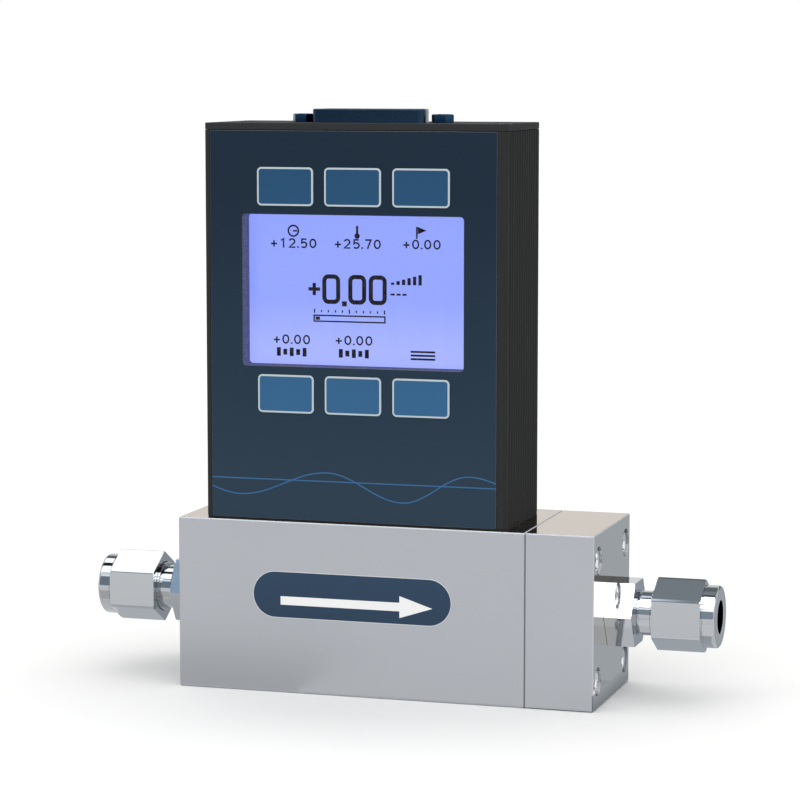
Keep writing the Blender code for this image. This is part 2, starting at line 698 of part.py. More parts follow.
def build_fitting_body(name, parent):
    """Fitting body: port thread, hexagon, neck, nut thread and coned mouth round the tube socket."""
    blank = BODY_HEX_FLATS / math.sqrt(3.0) + FIT_GAP
    crown = BODY_HEX_FLATS / 2 - HEX_CROWN_INSET
    slope = (blank - crown) * math.tan(HEX_CHAMFER_ANGLE)
    port = PORT_THREAD_DIAMETER / 2
    neck = NECK_DIAMETER / 2
    thread = NUT_THREAD_DIAMETER / 2
    socket = SOCKET_DIAMETER / 2
    thread_start = NUT_START + THREAD_CHAMFER
    profile = [
        (PASSAGE_RADIUS, -PORT_THREAD_LENGTH),
        (port - THREAD_CHAMFER, -PORT_THREAD_LENGTH),
        (port, THREAD_CHAMFER - PORT_THREAD_LENGTH),
        (port, LAYER_GAP),
        (blank, LAYER_GAP),
        (blank, BODY_HEX_LENGTH - slope),
        (crown, BODY_HEX_LENGTH),
        (neck, BODY_HEX_LENGTH),
        (neck, thread_start),
        (thread, thread_start + THREAD_CHAMFER),
        (thread, BODY_END - THREAD_CHAMFER),
        (thread - THREAD_CHAMFER, BODY_END),
        (MOUTH_DIAMETER / 2, BODY_END),
        (socket, BODY_END - MOUTH_LENGTH),
        (socket, BODY_END - SOCKET_DEPTH),
        (PASSAGE_RADIUS, BODY_END - SOCKET_DEPTH),
    ]
    hexed(name, profile, BODY_HEX_FLATS, math.radians(90.0), steel(f"{name} steel"), parent)


def build_nut(name, parent):
    """Compression nut: hexagon, round shoulder, threaded bore, ferrule seat and tube bore."""
    blank = NUT_HEX_FLATS / math.sqrt(3.0) + FIT_GAP
    shoulder = NUT_SHOULDER_DIAMETER / 2
    slope = (blank - shoulder) * math.tan(HEX_CHAMFER_ANGLE)
    thread = NUT_THREAD_DIAMETER / 2 + THREAD_GAP
    bore = NUT_BORE_DIAMETER / 2
    end = NUT_START + NUT_LENGTH
    hex_end = NUT_START + NUT_HEX_LENGTH
    seat = ferrule_seat()
    profile = [
        (thread, NUT_START),
        (blank, NUT_START),
        (blank, hex_end),
        (shoulder, hex_end + slope),
    ]
    profile += arc((shoulder - SHOULDER_ROUND, end - SHOULDER_ROUND), SHOULDER_ROUND, 0.0, math.pi / 2, 3)
    profile += [
        (bore, end),
        (bore, seat + NUT_SEAT_LENGTH),
        (seat_radius(), seat),
        (thread, seat),
    ]
    hexed(name, profile, NUT_HEX_FLATS, 0.0, steel(f"{name} steel"), parent)


def ferrule_seat():
    """Distance of the nut's inner shoulder from the block's end face."""
    return BODY_END + 2 * FIT_GAP + FERRULE_RIM + FIT_GAP / 2


def seat_radius():
    """Radius at which the nut's ferrule seat starts."""
    return FERRULE_BORE_DIAMETER / 2 + FERRULE_RIM + 2 * FIT_GAP


def build_ferrules(end_name, parent):
    """Front ferrule, coned like the body's mouth, and back ferrule, coned like the nut's seat."""
    bore = FERRULE_BORE_DIAMETER / 2
    outer = bore + FERRULE_RIM
    mouth_slope = (MOUTH_DIAMETER - SOCKET_DIAMETER) / 2 / MOUTH_LENGTH
    cone_at_mouth = MOUTH_DIAMETER / 2 - FIT_GAP * math.sqrt(1 + mouth_slope ** 2)
    tip_radius = bore + FERRULE_TIP
    tip = BODY_END - (cone_at_mouth - tip_radius) / mouth_slope
    face = BODY_END + FIT_GAP
    front = turned(
        f"{end_name}_front_ferrule",
        [
            (bore, tip),
            (tip_radius, tip),
            (cone_at_mouth, BODY_END),
            (cone_at_mouth, face),
            (outer, face),
            (outer, face + FERRULE_RIM / 2),
            (bore, face + FERRULE_RIM / 2),
        ],
        SCREW_STEPS,
    )
    place(f"{end_name}_front_ferrule", front, steel(f"{end_name} front ferrule steel"), parent)
    back_start = face + FERRULE_RIM / 2 + LAYER_GAP
    seat = ferrule_seat()
    seat_slope = (seat_radius() - NUT_BORE_DIAMETER / 2) / NUT_SEAT_LENGTH
    back_end = back_start + BACK_FERRULE_LENGTH
    narrow = seat_radius() - FIT_GAP * math.sqrt(1 + seat_slope ** 2) - (back_end - seat) * seat_slope
    back = turned(
        f"{end_name}_back_ferrule",
        [
            (bore, back_start),
            (outer, back_start),
            (outer, seat - FIT_GAP / 2),
            (narrow, back_end),
            (bore, back_end),
        ],
        SCREW_STEPS,
    )
    place(f"{end_name}_back_ferrule", back, steel(f"{end_name} back ferrule steel"), parent)


def build_fittings(parent):
    """The same fitting at each end, looking outwards."""
    for end_name, side, rotation in (("inlet", -1, AGAINST_X), ("outlet", 1, ALONG_X)):
        origin = empty(f"{end_name}_end", (side * BLOCK_LENGTH / 2, 0.0, FLOW_AXIS_HEIGHT), rotation, parent)
        build_fitting_body(f"{end_name}_fitting", origin)
        build_nut(f"{end_name}_nut", origin)
        build_ferrules(end_name, origin)


def rib_side(x, direction):
    """Points of one ribbed side: valleys that follow a squared cosine, at an even pitch."""
    first = -RIB_PITCH * (RIB_GROOVES - 1) / 2
    points = []
    for groove in range(RIB_GROOVES):
        centre = first + RIB_PITCH * groove
        for share in (-0.5, -0.25, 0.0, 0.25, 0.5):
            depth = RIB_GROOVE_DEPTH * math.cos(math.pi * share) ** 2
            points.append((x - math.copysign(depth, x), centre + RIB_GROOVE_WIDTH * share))
    return points if direction > 0 else points[::-1]


def housing_outline():
    """Outer outline of the extrusion, anticlockwise, with the front channel and both ribbed sides."""
    half_width = HOUSING_WIDTH / 2
    half_depth = HOUSING_DEPTH / 2
    radius = HOUSING_CORNER_RADIUS
    channel = FILM_WIDTH / 2 + 2 * LAYER_GAP
    turn = math.pi / 2
    inner_x = half_width - radius
    inner_y = half_depth - radius
    points = arc((-inner_x, -inner_y), radius, 2 * turn, 3 * turn, FILLET_STEPS)
    points += [
        (-channel, -half_depth),
        (-channel, CHANNEL_FLOOR_Y),
        (channel, CHANNEL_FLOOR_Y),
        (channel, -half_depth),
    ]
    points += arc((inner_x, -inner_y), radius, 3 * turn, 4 * turn, FILLET_STEPS)
    points += rib_side(half_width, 1)
    points += arc((inner_x, inner_y), radius, 0.0, turn, FILLET_STEPS)
    points += arc((-inner_x, inner_y), radius, turn, 2 * turn, FILLET_STEPS)
    points += rib_side(-half_width, -1)
    return points


def housing_cavity():
    """Inner outline: a rectangle with a screw channel and a pair of board rails on each side."""
    slot = BOARD_THICKNESS / 2 + FIT_GAP
    spread = math.acos(TIE_CHANNEL_INSET / TIE_CHANNEL_RADIUS)
    right = [(INNER_HALF_WIDTH, INNER_FRONT_Y)]
    right += arc((TIE_SCREW_X, 0.0), TIE_CHANNEL_RADIUS, -spread, spread - 2 * math.pi, HOLE_STEPS // 2)
    for start in (BOARD_SLOT_Y - slot - RAIL_WIDTH, BOARD_SLOT_Y + slot):
        right += [
            (INNER_HALF_WIDTH, start),
            (INNER_HALF_WIDTH - RAIL_HEIGHT, start),
            (INNER_HALF_WIDTH - RAIL_HEIGHT, start + RAIL_WIDTH),
            (INNER_HALF_WIDTH, start + RAIL_WIDTH),
        ]
    right.append((INNER_HALF_WIDTH, INNER_BACK_Y))
    return right + [(-x, y) for x, y in reversed(right)]


def tie_holes(radius):
    """One hole for each long screw."""
    return [circle(radius, HOLE_STEPS, (side * TIE_SCREW_X, 0.0)) for side in (-1, 1)]


def build_housing(parent):
    """Ribbed tube with the display's window cut through its front wall."""
    outlines = [housing_outline(), housing_cavity()] + tie_holes(TIE_HOLE_RADIUS)
    mesh = prism("housing", outlines, HOUSING_HEIGHT, HOUSING_BASE)
    surface = material("black anodised aluminium", (0.03, 0.03, 0.032), 0.45, 0.4)
    housing = place("housing", mesh, surface, parent)
    window = rounded_rectangle(WINDOW_WIDTH + 2 * WINDOW_STEP, WINDOW_HEIGHT + 2 * WINDOW_STEP,
                               WINDOW_RADIUS)
    cutter = prism("window_cutter", [window], HOUSING_WALL + 2 * CUT_PAST)
    cut(housing, place("window_cutter", cutter, None, parent,
                       (0.0, INNER_FRONT_Y + CUT_PAST, DISPLAY_Z), FACING_FRONT))


def build_gasket(parent):
    """Thin gasket between the housing and the block."""
    inset = FIT_GAP
    outline = rounded_rectangle(HOUSING_WIDTH - 2 * (RIB_GROOVE_DEPTH + inset), HOUSING_DEPTH - 2 * inset,
                                HOUSING_CORNER_RADIUS)
    mesh = prism("housing_gasket", [outline, housing_cavity()] + tie_holes(TIE_HOLE_RADIUS), GASKET_THICKNESS,
                 BLOCK_HEIGHT + LAYER_GAP)
    place("housing_gasket", mesh, rubber("gasket rubber"), parent)


def build_film(parent):
    """Front film, as high as the housing, open at the display."""
    height = HOUSING_HEIGHT - FILM_LOWER_EDGE - FILM_UPPER_EDGE
    middle = HOUSING_BASE + FILM_LOWER_EDGE + height / 2
    window = rounded_rectangle(WINDOW_WIDTH, WINDOW_HEIGHT, WINDOW_RADIUS, (0.0, DISPLAY_Z - middle))
    mesh = prism("front_film", [rectangle(FILM_WIDTH, height), window], FILM_THICKNESS)
    place("front_film", mesh, material("printed polyester film", (0.016, 0.036, 0.066), 0.35), parent,
          (0.0, CHANNEL_FLOOR_Y - LAYER_GAP, middle), FACING_FRONT)


def build_keys(parent):
    """Six low pads, three above the window and three below."""
    mesh = prism("key", [rounded_rectangle(KEY_WIDTH, KEY_HEIGHT, KEY_RADIUS)], KEY_RISE)
    mesh.materials.append(material("printed key film", (0.03, 0.1, 0.19), 0.35))
    front = CHANNEL_FLOOR_Y - 2 * LAYER_GAP - FILM_THICKNESS
    number = 0
    for row in (0.5, -0.5):
        for column in (-1, 0, 1):
            number += 1
            key = place(f"key_{number}", mesh, None, parent,
                        (column * KEY_COLUMN_PITCH, front, DISPLAY_Z + row * KEY_ROW_PITCH), FACING_FRONT)
            chamfer_edges(key, KEY_BEVEL)


def build_display(parent):
    """Lens, frame, glass panel, backlight and board, stacked from the window inwards."""
    def layer(name, outlines, thickness, front, surface):
        mesh = prism(name, outlines, thickness)
        place(name, mesh, surface, parent, (0.0, front + thickness, DISPLAY_Z), FACING_FRONT)

    lens_front = INNER_FRONT_Y + LAYER_GAP
    lens = rounded_rectangle(WINDOW_WIDTH + 2 * LENS_MARGIN, WINDOW_HEIGHT + 2 * LENS_MARGIN,
                             WINDOW_RADIUS)
    layer("display_lens", [lens], LENS_THICKNESS, lens_front,
          material("clear polycarbonate", (0.8, 0.8, 0.85), 0.05))

    frame_front = lens_front + LENS_THICKNESS + LAYER_GAP
    frame_depth = FRAME_LIP_THICKNESS + 3 * LAYER_GAP + PANEL_THICKNESS + BACKLIGHT_THICKNESS
    frame_width = WINDOW_WIDTH + 2 * FRAME_MARGIN
    frame_height = WINDOW_HEIGHT + 2 * FRAME_MARGIN
    pocket_width = frame_width - 2 * FRAME_WALL
    pocket_height = frame_height - 2 * FRAME_WALL
    opening = rectangle(pocket_width - 2 * FRAME_LIP_WIDTH, pocket_height - 2 * FRAME_LIP_WIDTH)
    frame = stepped_prism(
        "display_frame",
        [opening],
        rectangle(pocket_width, pocket_height),
        rounded_rectangle(frame_width, frame_height, FRAME_WALL),
        FRAME_LIP_THICKNESS,
        frame_depth,
    )
    place("display_frame", frame, material("black zinc plated steel", (0.03, 0.03, 0.03), 0.4, 1.0), parent,
          (0.0, frame_front, DISPLAY_Z), FACING_BACK)

    panel_front = frame_front + FRAME_LIP_THICKNESS + LAYER_GAP
    glass = rectangle(pocket_width - 2 * FIT_GAP, pocket_height - 2 * FIT_GAP)
    layer("display_panel", [glass], PANEL_THICKNESS, panel_front,
          material("lit display glass", (0.32, 0.4, 1.0), 0.15))
    backlight_front = panel_front + PANEL_THICKNESS + LAYER_GAP
    layer("display_backlight", [glass], BACKLIGHT_THICKNESS, backlight_front,
          material("white light guide", (0.85, 0.85, 0.85), 0.3))

    board_front = frame_front + frame_depth + LAYER_GAP
    board_width = WINDOW_WIDTH + 2 * DISPLAY_BOARD_MARGIN
    board_height = WINDOW_HEIGHT + 2 * DISPLAY_BOARD_MARGIN
    outlines = [rounded_rectangle(board_width, board_height, BOARD_CORNER_RADIUS)]
    hole_x = board_width / 2 - BOARD_HOLE_EDGE
    hole_y = board_height / 2 - BOARD_HOLE_EDGE
    for centre in ((-hole_x, -hole_y), (hole_x, -hole_y), (hole_x, hole_y), (-hole_x, hole_y)):
        outlines.append(circle(BOARD_HOLE_DIAMETER / 2, HOLE_STEPS // 2, centre))
    layer("display_board", outlines, BOARD_THICKNESS, board_front, board_green("display board"))
    return board_front + BOARD_THICKNESS


def build_top_plate(parent):
    """Cover plate with the connector's cut-out, jack holes and two countersunk screw holes."""
    outlines = [
        rounded_rectangle(HOUSING_WIDTH, HOUSING_DEPTH, HOUSING_CORNER_RADIUS),
        rounded(inset_outline(connector_corners(), -FIT_GAP), CONNECTOR_RADIUS),
    ]
    outlines += jack_holes()
    mesh = prism("top_plate", outlines, TOP_PLATE_THICKNESS, PLATE_BASE)
    surface = material("black anodised plate", (0.035, 0.035, 0.037), 0.4, 0.4)
    plate = place("top_plate", mesh, surface, parent)
    chamfer_edges(plate, TOP_PLATE_BEVEL)
    head = TIE_SCREW_HEAD_DIAMETER / 2 + 2 * LAYER_GAP
    head_depth = TIE_SCREW_RECESS + TIE_SCREW_HEAD_HEIGHT
    countersink = turned(
        "countersink_cutter",
        [
            (0.0, CUT_PAST),
            (head, CUT_PAST),
            (head, -TIE_SCREW_RECESS),
            (TIE_HOLE_RADIUS, -head_depth),
            (TIE_HOLE_RADIUS, -TOP_PLATE_THICKNESS - CUT_PAST),
            (0.0, -TOP_PLATE_THICKNESS - CUT_PAST),
        ],
        SCREW_STEPS,
    )
    for i, side in enumerate((-1, 1), start=1):
        cut(plate, place(f"countersink_cutter_{i}", countersink, None, parent,
                         (side * TIE_SCREW_X, 0.0, PLATE_TOP)))


def build_tie_screws(parent):
    """Two long countersunk screws through plate and housing into the block."""
    head = TIE_SCREW_HEAD_DIAMETER / 2
    shank = TIE_SCREW_DIAMETER / 2
    length = PLATE_TOP - TIE_SCREW_RECESS - BLOCK_HEIGHT + TIE_SCREW_ENGAGEMENT
    profile = [
        (0.0, -length),
        (shank - THREAD_CHAMFER / 2, -length),
        (shank, THREAD_CHAMFER - length),
        (shank, -TIE_SCREW_HEAD_HEIGHT - FIT_GAP / 2),
        (head, -2 * LAYER_GAP),
        (head, 0.0),
    ]
    mesh = socket_screw("tie_screw", profile, TIE_SCREW_SOCKET_FLATS, TIE_SCREW_SOCKET_DEPTH)
    mesh.materials.append(steel("tie screw steel"))
    for i, side in enumerate((-1, 1), start=1):
        place(f"tie_screw_{i}", mesh, None, parent, (side * TIE_SCREW_X, 0.0, PLATE_TOP - TIE_SCREW_RECESS))


def connector_corners():
    """Corners of the connector's shell: a trapezium, wide side to the front."""
    narrow = CONNECTOR_WIDTH / 2 - CONNECTOR_DEPTH * math.tan(CONNECTOR_SLANT)
    front = -CONNECTOR_DEPTH / 2
    back = CONNECTOR_DEPTH / 2
    return [(-CONNECTOR_WIDTH / 2, front), (CONNECTOR_WIDTH / 2, front), (narrow, back), (-narrow, back)]


def inset_outline(corners, distance):
    """Move every edge of a convex anticlockwise outline inwards by a distance."""
    moved = []
    for i, corner in enumerate(corners):
        here = Vector(corner)
        back = (Vector(corners[i - 1]) - here).normalized()
        ahead = (Vector(corners[(i + 1) % len(corners)]) - here).normalized()
        half = back.angle(ahead) / 2
        moved.append(tuple(here + (back + ahead).normalized() * distance / math.sin(half)))
    return moved


def jack_holes():
    """Clearance hole for each jack post's stem."""
    radius = JACK_STEM_DIAMETER / 2 + FIT_GAP
    return [circle(radius, HOLE_STEPS, (side * JACK_SPACING / 2, 0.0)) for side in (-1, 1)]


def build_connector(parent):
    """Shell with its flange, insulator with fifteen contact holes, and two jack posts."""
    flange_top = PLATE_BASE - LAYER_GAP
    flange_base = flange_top - FLANGE_THICKNESS
    rim = PLATE_TOP + CONNECTOR_RISE
    outer = connector_corners()
    inner = inset_outline(outer, SHELL_THICKNESS)
    flange = [rounded_rectangle(FLANGE_WIDTH, FLANGE_DEPTH, FLANGE_THICKNESS)] + jack_holes()
    shell = stepped_prism(
        "connector_shell",
        flange,
        rounded(outer, CONNECTOR_RADIUS),
        rounded(inner, CONNECTOR_RADIUS - SHELL_THICKNESS),
        FLANGE_THICKNESS,
        rim - flange_base,
    )
    place("connector_shell", shell, material("nickel plated shell", (0.5, 0.5, 0.5), 0.3, 1.0), parent,
          (0.0, 0.0, flange_base))

    block = rounded(inset_outline(inner, FIT_GAP), CONNECTOR_RADIUS - SHELL_THICKNESS - FIT_GAP)
    base = flange_base - INSULATOR_TAIL
    top = rim - INSULATOR_RECESS
    insulator = place("connector_insulator", prism("connector_insulator", [block], top - base, base),
                      material("black connector plastic", (0.02, 0.02, 0.02), 0.45), parent)
    rows = (
        (1, CONTACTS_IN_WIDE_ROW, -CONTACT_ROW_PITCH / 2),
        (2, CONTACTS_IN_WIDE_ROW - 1, CONTACT_ROW_PITCH / 2),
    )
    for row, count, y in rows:
        for i in range(count):
            x = (i - (count - 1) / 2) * CONTACT_PITCH
            hole = cylinder_cutter(f"contact_cutter_{row}_{i}", CONTACT_DIAMETER / 2,
                                   CONTACT_DEPTH + CUT_PAST, parent, (x, y, top - CONTACT_DEPTH),
                                   steps=CONTACT_STEPS)
            cut(insulator, hole)

    stem = JACK_STEM_DIAMETER / 2
    post_base = PLATE_TOP + LAYER_GAP
    post_top = post_base + JACK_RISE
    for i, side in enumerate((-1, 1), start=1):
        x = side * JACK_SPACING / 2
        post = place(f"jack_post_{i}", prism(f"jack_post_{i}", [hexagon(JACK_FLATS)], JACK_RISE, post_base),
                     steel(f"jack post {i} steel"), parent, (x, 0.0, 0.0))
        shank = prism(f"jack_stem_{i}", [circle(stem, HOLE_STEPS)],
                      JACK_STEM_LENGTH + JACK_STEM_INLET, post_base - JACK_STEM_LENGTH)
        cut(post, place(f"jack_stem_{i}", shank, None, parent, (x, 0.0, 0.0)), "UNION")
        cut(post, cylinder_cutter(f"jack_bore_cutter_{i}", JACK_BORE_DIAMETER / 2, JACK_BORE_DEPTH + CUT_PAST,
                                  parent, (x, 0.0, post_top - JACK_BORE_DEPTH)))
    return base


def build_boards(parent, insulator_base, display_back):
    """Connector board, main board in its rails, sensor board, processor and the header between boards."""
    width = CONNECTOR_WIDTH + 2 * CONNECTOR_BOARD_MARGIN
    depth = CONNECTOR_DEPTH + CONNECTOR_BOARD_MARGIN / 2
    top = insulator_base - FIT_GAP
    plate = prism("connector_board", [rounded_rectangle(width, depth, BOARD_CORNER_RADIUS)], BOARD_THICKNESS,
                  top - BOARD_THICKNESS)
    place("connector_board", plate, board_green("connector board"), parent)

    sensor_plate = prism("sensor_board",
                         [rounded_rectangle(SENSOR_BOARD_WIDTH, SENSOR_BOARD_DEPTH, BOARD_CORNER_RADIUS)],
                         BOARD_THICKNESS, SENSOR_BOARD_BASE)
    place("sensor_board", sensor_plate, board_green("sensor board"), parent)

    bottom = SENSOR_BOARD_BASE + BOARD_THICKNESS + FIT_GAP
    height = HOUSING_TOP - MAIN_BOARD_UPPER_EDGE - bottom
    middle = bottom + height / 2
    main_width = 2 * (INNER_HALF_WIDTH - FIT_GAP)
    main = prism("main_board", [rounded_rectangle(main_width, height, BOARD_CORNER_RADIUS)], BOARD_THICKNESS)
    place("main_board", main, board_green("main board"), parent,
          (0.0, BOARD_SLOT_Y + BOARD_THICKNESS / 2, middle), FACING_FRONT)

    chip = prism("processor", [rectangle(PROCESSOR_SIZE, PROCESSOR_SIZE)], PROCESSOR_THICKNESS)
    chip_back = BOARD_SLOT_Y - BOARD_THICKNESS / 2 - LAYER_GAP
    place("processor", chip, material("chip package", (0.02, 0.02, 0.02), 0.5), parent,
          (0.0, chip_back, middle), FACING_FRONT)

    header_length = BOARD_SLOT_Y - BOARD_THICKNESS / 2 - display_back - 2 * LAYER_GAP
    header = prism("board_header", [rectangle(HEADER_WIDTH, HEADER_HEIGHT)], header_length)
    place("board_header", header, material("header plastic", (0.02, 0.02, 0.02), 0.5), parent,
          (0.0, chip_back, middle + PROCESSOR_SIZE), FACING_FRONT)


def build_sensors(parent):
    """Differential sensor over its two taps and absolute sensor over the third."""
    centre = (UPSTREAM_TAP_X + DOWNSTREAM_TAP_X) / 2
    length = DOWNSTREAM_TAP_X - UPSTREAM_TAP_X + 2 * DIFFERENTIAL_SENSOR_MARGIN
    body = prism("differential_sensor",
                 [rounded_rectangle(length, DIFFERENTIAL_SENSOR_DEPTH, BOARD_CORNER_RADIUS)],
                 SENSOR_HEIGHT, SENSOR_BASE)
    place("differential_sensor", body, material("sensor housing", (0.75, 0.74, 0.7), 0.4), parent,
          (centre, 0.0, 0.0))
    can_radius = ABSOLUTE_SENSOR_DIAMETER / 2 - ABSOLUTE_SENSOR_STEP
    can = turned(
        "absolute_sensor",
        [
            (0.0, SENSOR_BASE),
            (ABSOLUTE_SENSOR_DIAMETER / 2, SENSOR_BASE),
            (ABSOLUTE_SENSOR_DIAMETER / 2, SENSOR_BASE + ABSOLUTE_SENSOR_BASE_HEIGHT),
            (can_radius, SENSOR_BASE + ABSOLUTE_SENSOR_BASE_HEIGHT + ABSOLUTE_SENSOR_STEP),
            (can_radius, SENSOR_BASE + SENSOR_HEIGHT),
            (0.0, SENSOR_BASE + SENSOR_HEIGHT),
        ],
        HOLE_STEPS,
    )
    place("absolute_sensor", can, steel("sensor can steel"), parent, (ABSOLUTE_TAP_X, 0.0, 0.0))


def main():
    clear_scene()
    meter = empty("meter")
    build_flow_body(meter)
    build_end_block(meter)
    build_end_screws(meter)
    build_block_seals(meter)
    build_flow_element(meter)
    build_fittings(meter)
    build_sensors(meter)
    housing = empty("housing_group", (HOUSING_X, HOUSING_Y, 0.0), parent=meter)
    build_gasket(housing)
    build_housing(housing)
    build_film(housing)
    build_keys(housing)
    display_back = build_display(housing)
    build_top_plate(housing)
    build_tie_screws(housing)
    insulator_base = build_connector(housing)
    build_boards(housing, insulator_base, display_back)


main()
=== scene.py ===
"""Looks of a gas mass flow meter: a steel flow block with a compression fitting at each end and a ribbed
display housing standing on it.

Metres, +Z up. Gas flows along +X, the display faces -Y, and the origin is the middle of the underside.
"""

import math

import bmesh
import bpy
import numpy as np
from bpy.props import FloatProperty, FloatVectorProperty, IntProperty, PointerProperty
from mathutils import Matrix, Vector


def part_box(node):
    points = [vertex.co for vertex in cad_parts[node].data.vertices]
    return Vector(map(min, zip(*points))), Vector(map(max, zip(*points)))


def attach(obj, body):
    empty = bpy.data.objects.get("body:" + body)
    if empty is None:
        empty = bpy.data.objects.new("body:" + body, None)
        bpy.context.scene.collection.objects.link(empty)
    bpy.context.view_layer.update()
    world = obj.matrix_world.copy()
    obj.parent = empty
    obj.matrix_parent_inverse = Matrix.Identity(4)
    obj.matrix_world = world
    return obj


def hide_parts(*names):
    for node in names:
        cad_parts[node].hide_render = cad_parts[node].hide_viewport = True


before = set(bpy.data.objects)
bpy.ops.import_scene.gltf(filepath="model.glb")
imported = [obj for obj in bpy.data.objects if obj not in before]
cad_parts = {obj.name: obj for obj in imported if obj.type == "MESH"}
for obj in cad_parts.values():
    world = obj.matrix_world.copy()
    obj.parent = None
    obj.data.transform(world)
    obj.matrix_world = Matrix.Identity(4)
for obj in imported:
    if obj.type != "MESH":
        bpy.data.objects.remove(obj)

bl_info = {
    "name": "Gas mass flow meter",
    "version": (1, 0, 0),
    "blender": (4, 5, 0),
    "location": "3D View > Sidebar > Meter",
    "description": "Builds the surfaces, materials and studio of a gas mass flow meter",
    "category": "Add Mesh",
}

BODY = "root"
MM = 0.001

# Directions of a piece's own X, Y and Z axes
FACING_UP = ((1.0, 0.0, 0.0), (0.0, 1.0, 0.0), (0.0, 0.0, 1.0))
FACING_FRONT = ((1.0, 0.0, 0.0), (0.0, 0.0, 1.0), (0.0, -1.0, 0.0))
FACING_OUTLET = ((0.0, 1.0, 0.0), (0.0, 0.0, 1.0), (1.0, 0.0, 0.0))
FACING_INLET = ((0.0, -1.0, 0.0), (0.0, 0.0, 1.0), (-1.0, 0.0, 0.0))

# Facets
ROUND_STEPS = 144
SCREW_STEPS = 72
CORNER_STEPS = 8
PROFILE_STEP = 0.07 * MM
SHARP_ANGLE = math.radians(32.0)
WELD = 0.0005 * MM

# How far a cutting solid reaches past the wall that it cuts
PAST = 1.0 * MM

# Tints of the blocks' faces, chosen by the way each faces, are painted light. The top and end are paler than
# the sides to brighten their reflections, and the broken edges' tint sets how bright their thin line shows.
TOP_FACE_PAINTED_LIGHT = "#ccc6c1"
END_FACE_PAINTED_LIGHT = "#f0f2f4"
EDGE_PAINTED_LIGHT = "#b9bcc0"

# Heights between which a print fades from its first colour to its second
LABEL_FADE = (17.0 * MM, 27.0 * MM)
UPPER_KEY_FADE = (117.0 * MM, 107.0 * MM)
LOWER_KEY_FADE = (71.0 * MM, 62.0 * MM)

# Turning points of the printed wave
WAVE_X = np.array([-51.0, -32.9, -12.9, 4.4, 19.6, 39.0]) * MM
WAVE_Z = np.array([49.3, 44.0, 49.4, 43.5, 49.8, 43.8]) * MM

# Large figures of the reading, in millimetres: foot, head, and the left and right side of each nought
READING_FOOT = 86.2
READING_HEAD = 92.7
READING_SIDES = ((-15.25, -11.11), (-9.25, -5.13), (-4.55, -0.44))
POINT_MARK = (-10.15, 86.3)
SIGN_MARK = (-17.1, 89.4)

# Small readings, their height and middles in millimetres
VALUE_HEIGHT = 2.1
VALUES = (
    ("+12.50", -21.9, 99.4), ("+25.70", -7.1, 99.45), ("+0.00", 7.5, 99.6),
    ("+0.00", -22.4, 78.2), ("+0.00", -8.0, 78.3),
)

# Middles of the symbols on the screen, in millimetres
DIAL = (-21.9, 102.1)
BULB = (-7.2, 101.2)
POLE = (6.4, 102.1)
PENNANT = ((6.62, 103.4), (6.62, 101.8), (8.6, 102.6))
FIRST_STEP = (0.9, 90.7)
FIRST_DASH = (0.9, 88.6)
LEVEL_BAR = (-9.0, 83.0)
TICKS_Z = 84.6
SMALL_SCALES_X = (-22.4, -8.0)
SMALL_SCALES_Z = 75.4
MENU = (7.8, 74.6)

# Share of a mark's thickness that a second mark has where the two cross
UNDERLAY = 0.98

# Height of the shaded foot in the end face's mirror image
FOOT_HEIGHT = 3.6 * MM

# Studio lamps: diameter and place in metres, and the point that they face
KEY_LAMP = (0.9, (-0.7, -1.0, 1.25))
FILL_LAMP = (0.7, (1.1, -0.5, 0.9))
LIT_POINT = (0.0, 0.0, 0.06)


def linear(code):
    """Linear colour of an sRGB hex code."""
    parts = np.array([int(code[i:i + 2], 16) for i in (1, 3, 5)]) / 255.0
    return tuple(np.where(parts <= 0.04045, parts / 12.92, ((parts + 0.055) / 1.055) ** 2.4).tolist())


def length(name, description, millimetres):
    """A size in the sidebar, given in millimetres and kept in metres."""
    return FloatProperty(name=name, description=description, default=millimetres * MM, unit="LENGTH")


def colour(name, description, code):
    """A colour in the sidebar, given as an sRGB hex code and kept linear."""
    return FloatVectorProperty(name=name, description=description, default=linear(code), subtype="COLOR",
                               min=0.0, max=1.0)


def angle(name, description, degrees):
    """An angle in the sidebar, given in degrees and kept in radians."""
    return FloatProperty(name=name, description=description, default=math.radians(degrees), unit="ROTATION")


class MeterBlock(bpy.types.PropertyGroup):
    """Steel flow block and the label on its front."""

    steel: colour("Steel", "Ground stainless steel", "#b4b6bb")
    sheen: colour("Sheen", "Tint of the steel's reflection at a low angle", "#eae6e1")
    label_width: length("Label width", "Length of the label with its round ends", 45.8)
    label_height: length("Label height", "Height of the label", 10.5)
    label_x: length("Label X", "Middle of the label along the flow", -7.0)
    label_z: length("Label Z", "Middle of the label above the underside", 22.0)
    label_rise: length("Label rise", "Thickness of the label", 0.15)
    label_rim: length("Label rim", "Width of the bare edge round the label's print", 0.18)
    arrow_start: length("Arrow start", "Tail of the arrow, from the label's middle", -16.4)
    arrow_neck: length("Arrow neck", "Where the arrow's head begins, from the label's middle", 11.06)
    arrow_tip: length("Arrow tip", "Point of the arrow, from the label's middle", 18.57)
    arrow_shaft: length("Arrow shaft", "Thickness of the arrow's shaft", 1.9)
    arrow_head: length("Arrow head", "Width of the arrow's head", 4.87)
    arrow_drop: length("Arrow drop", "Arrow's line below the label's middle", 1.3)
    label_colour: colour("Label", "Printed ground of the label", "#31455c")
    print_colour: colour("White print", "Arrow on the label", "#ffffff")


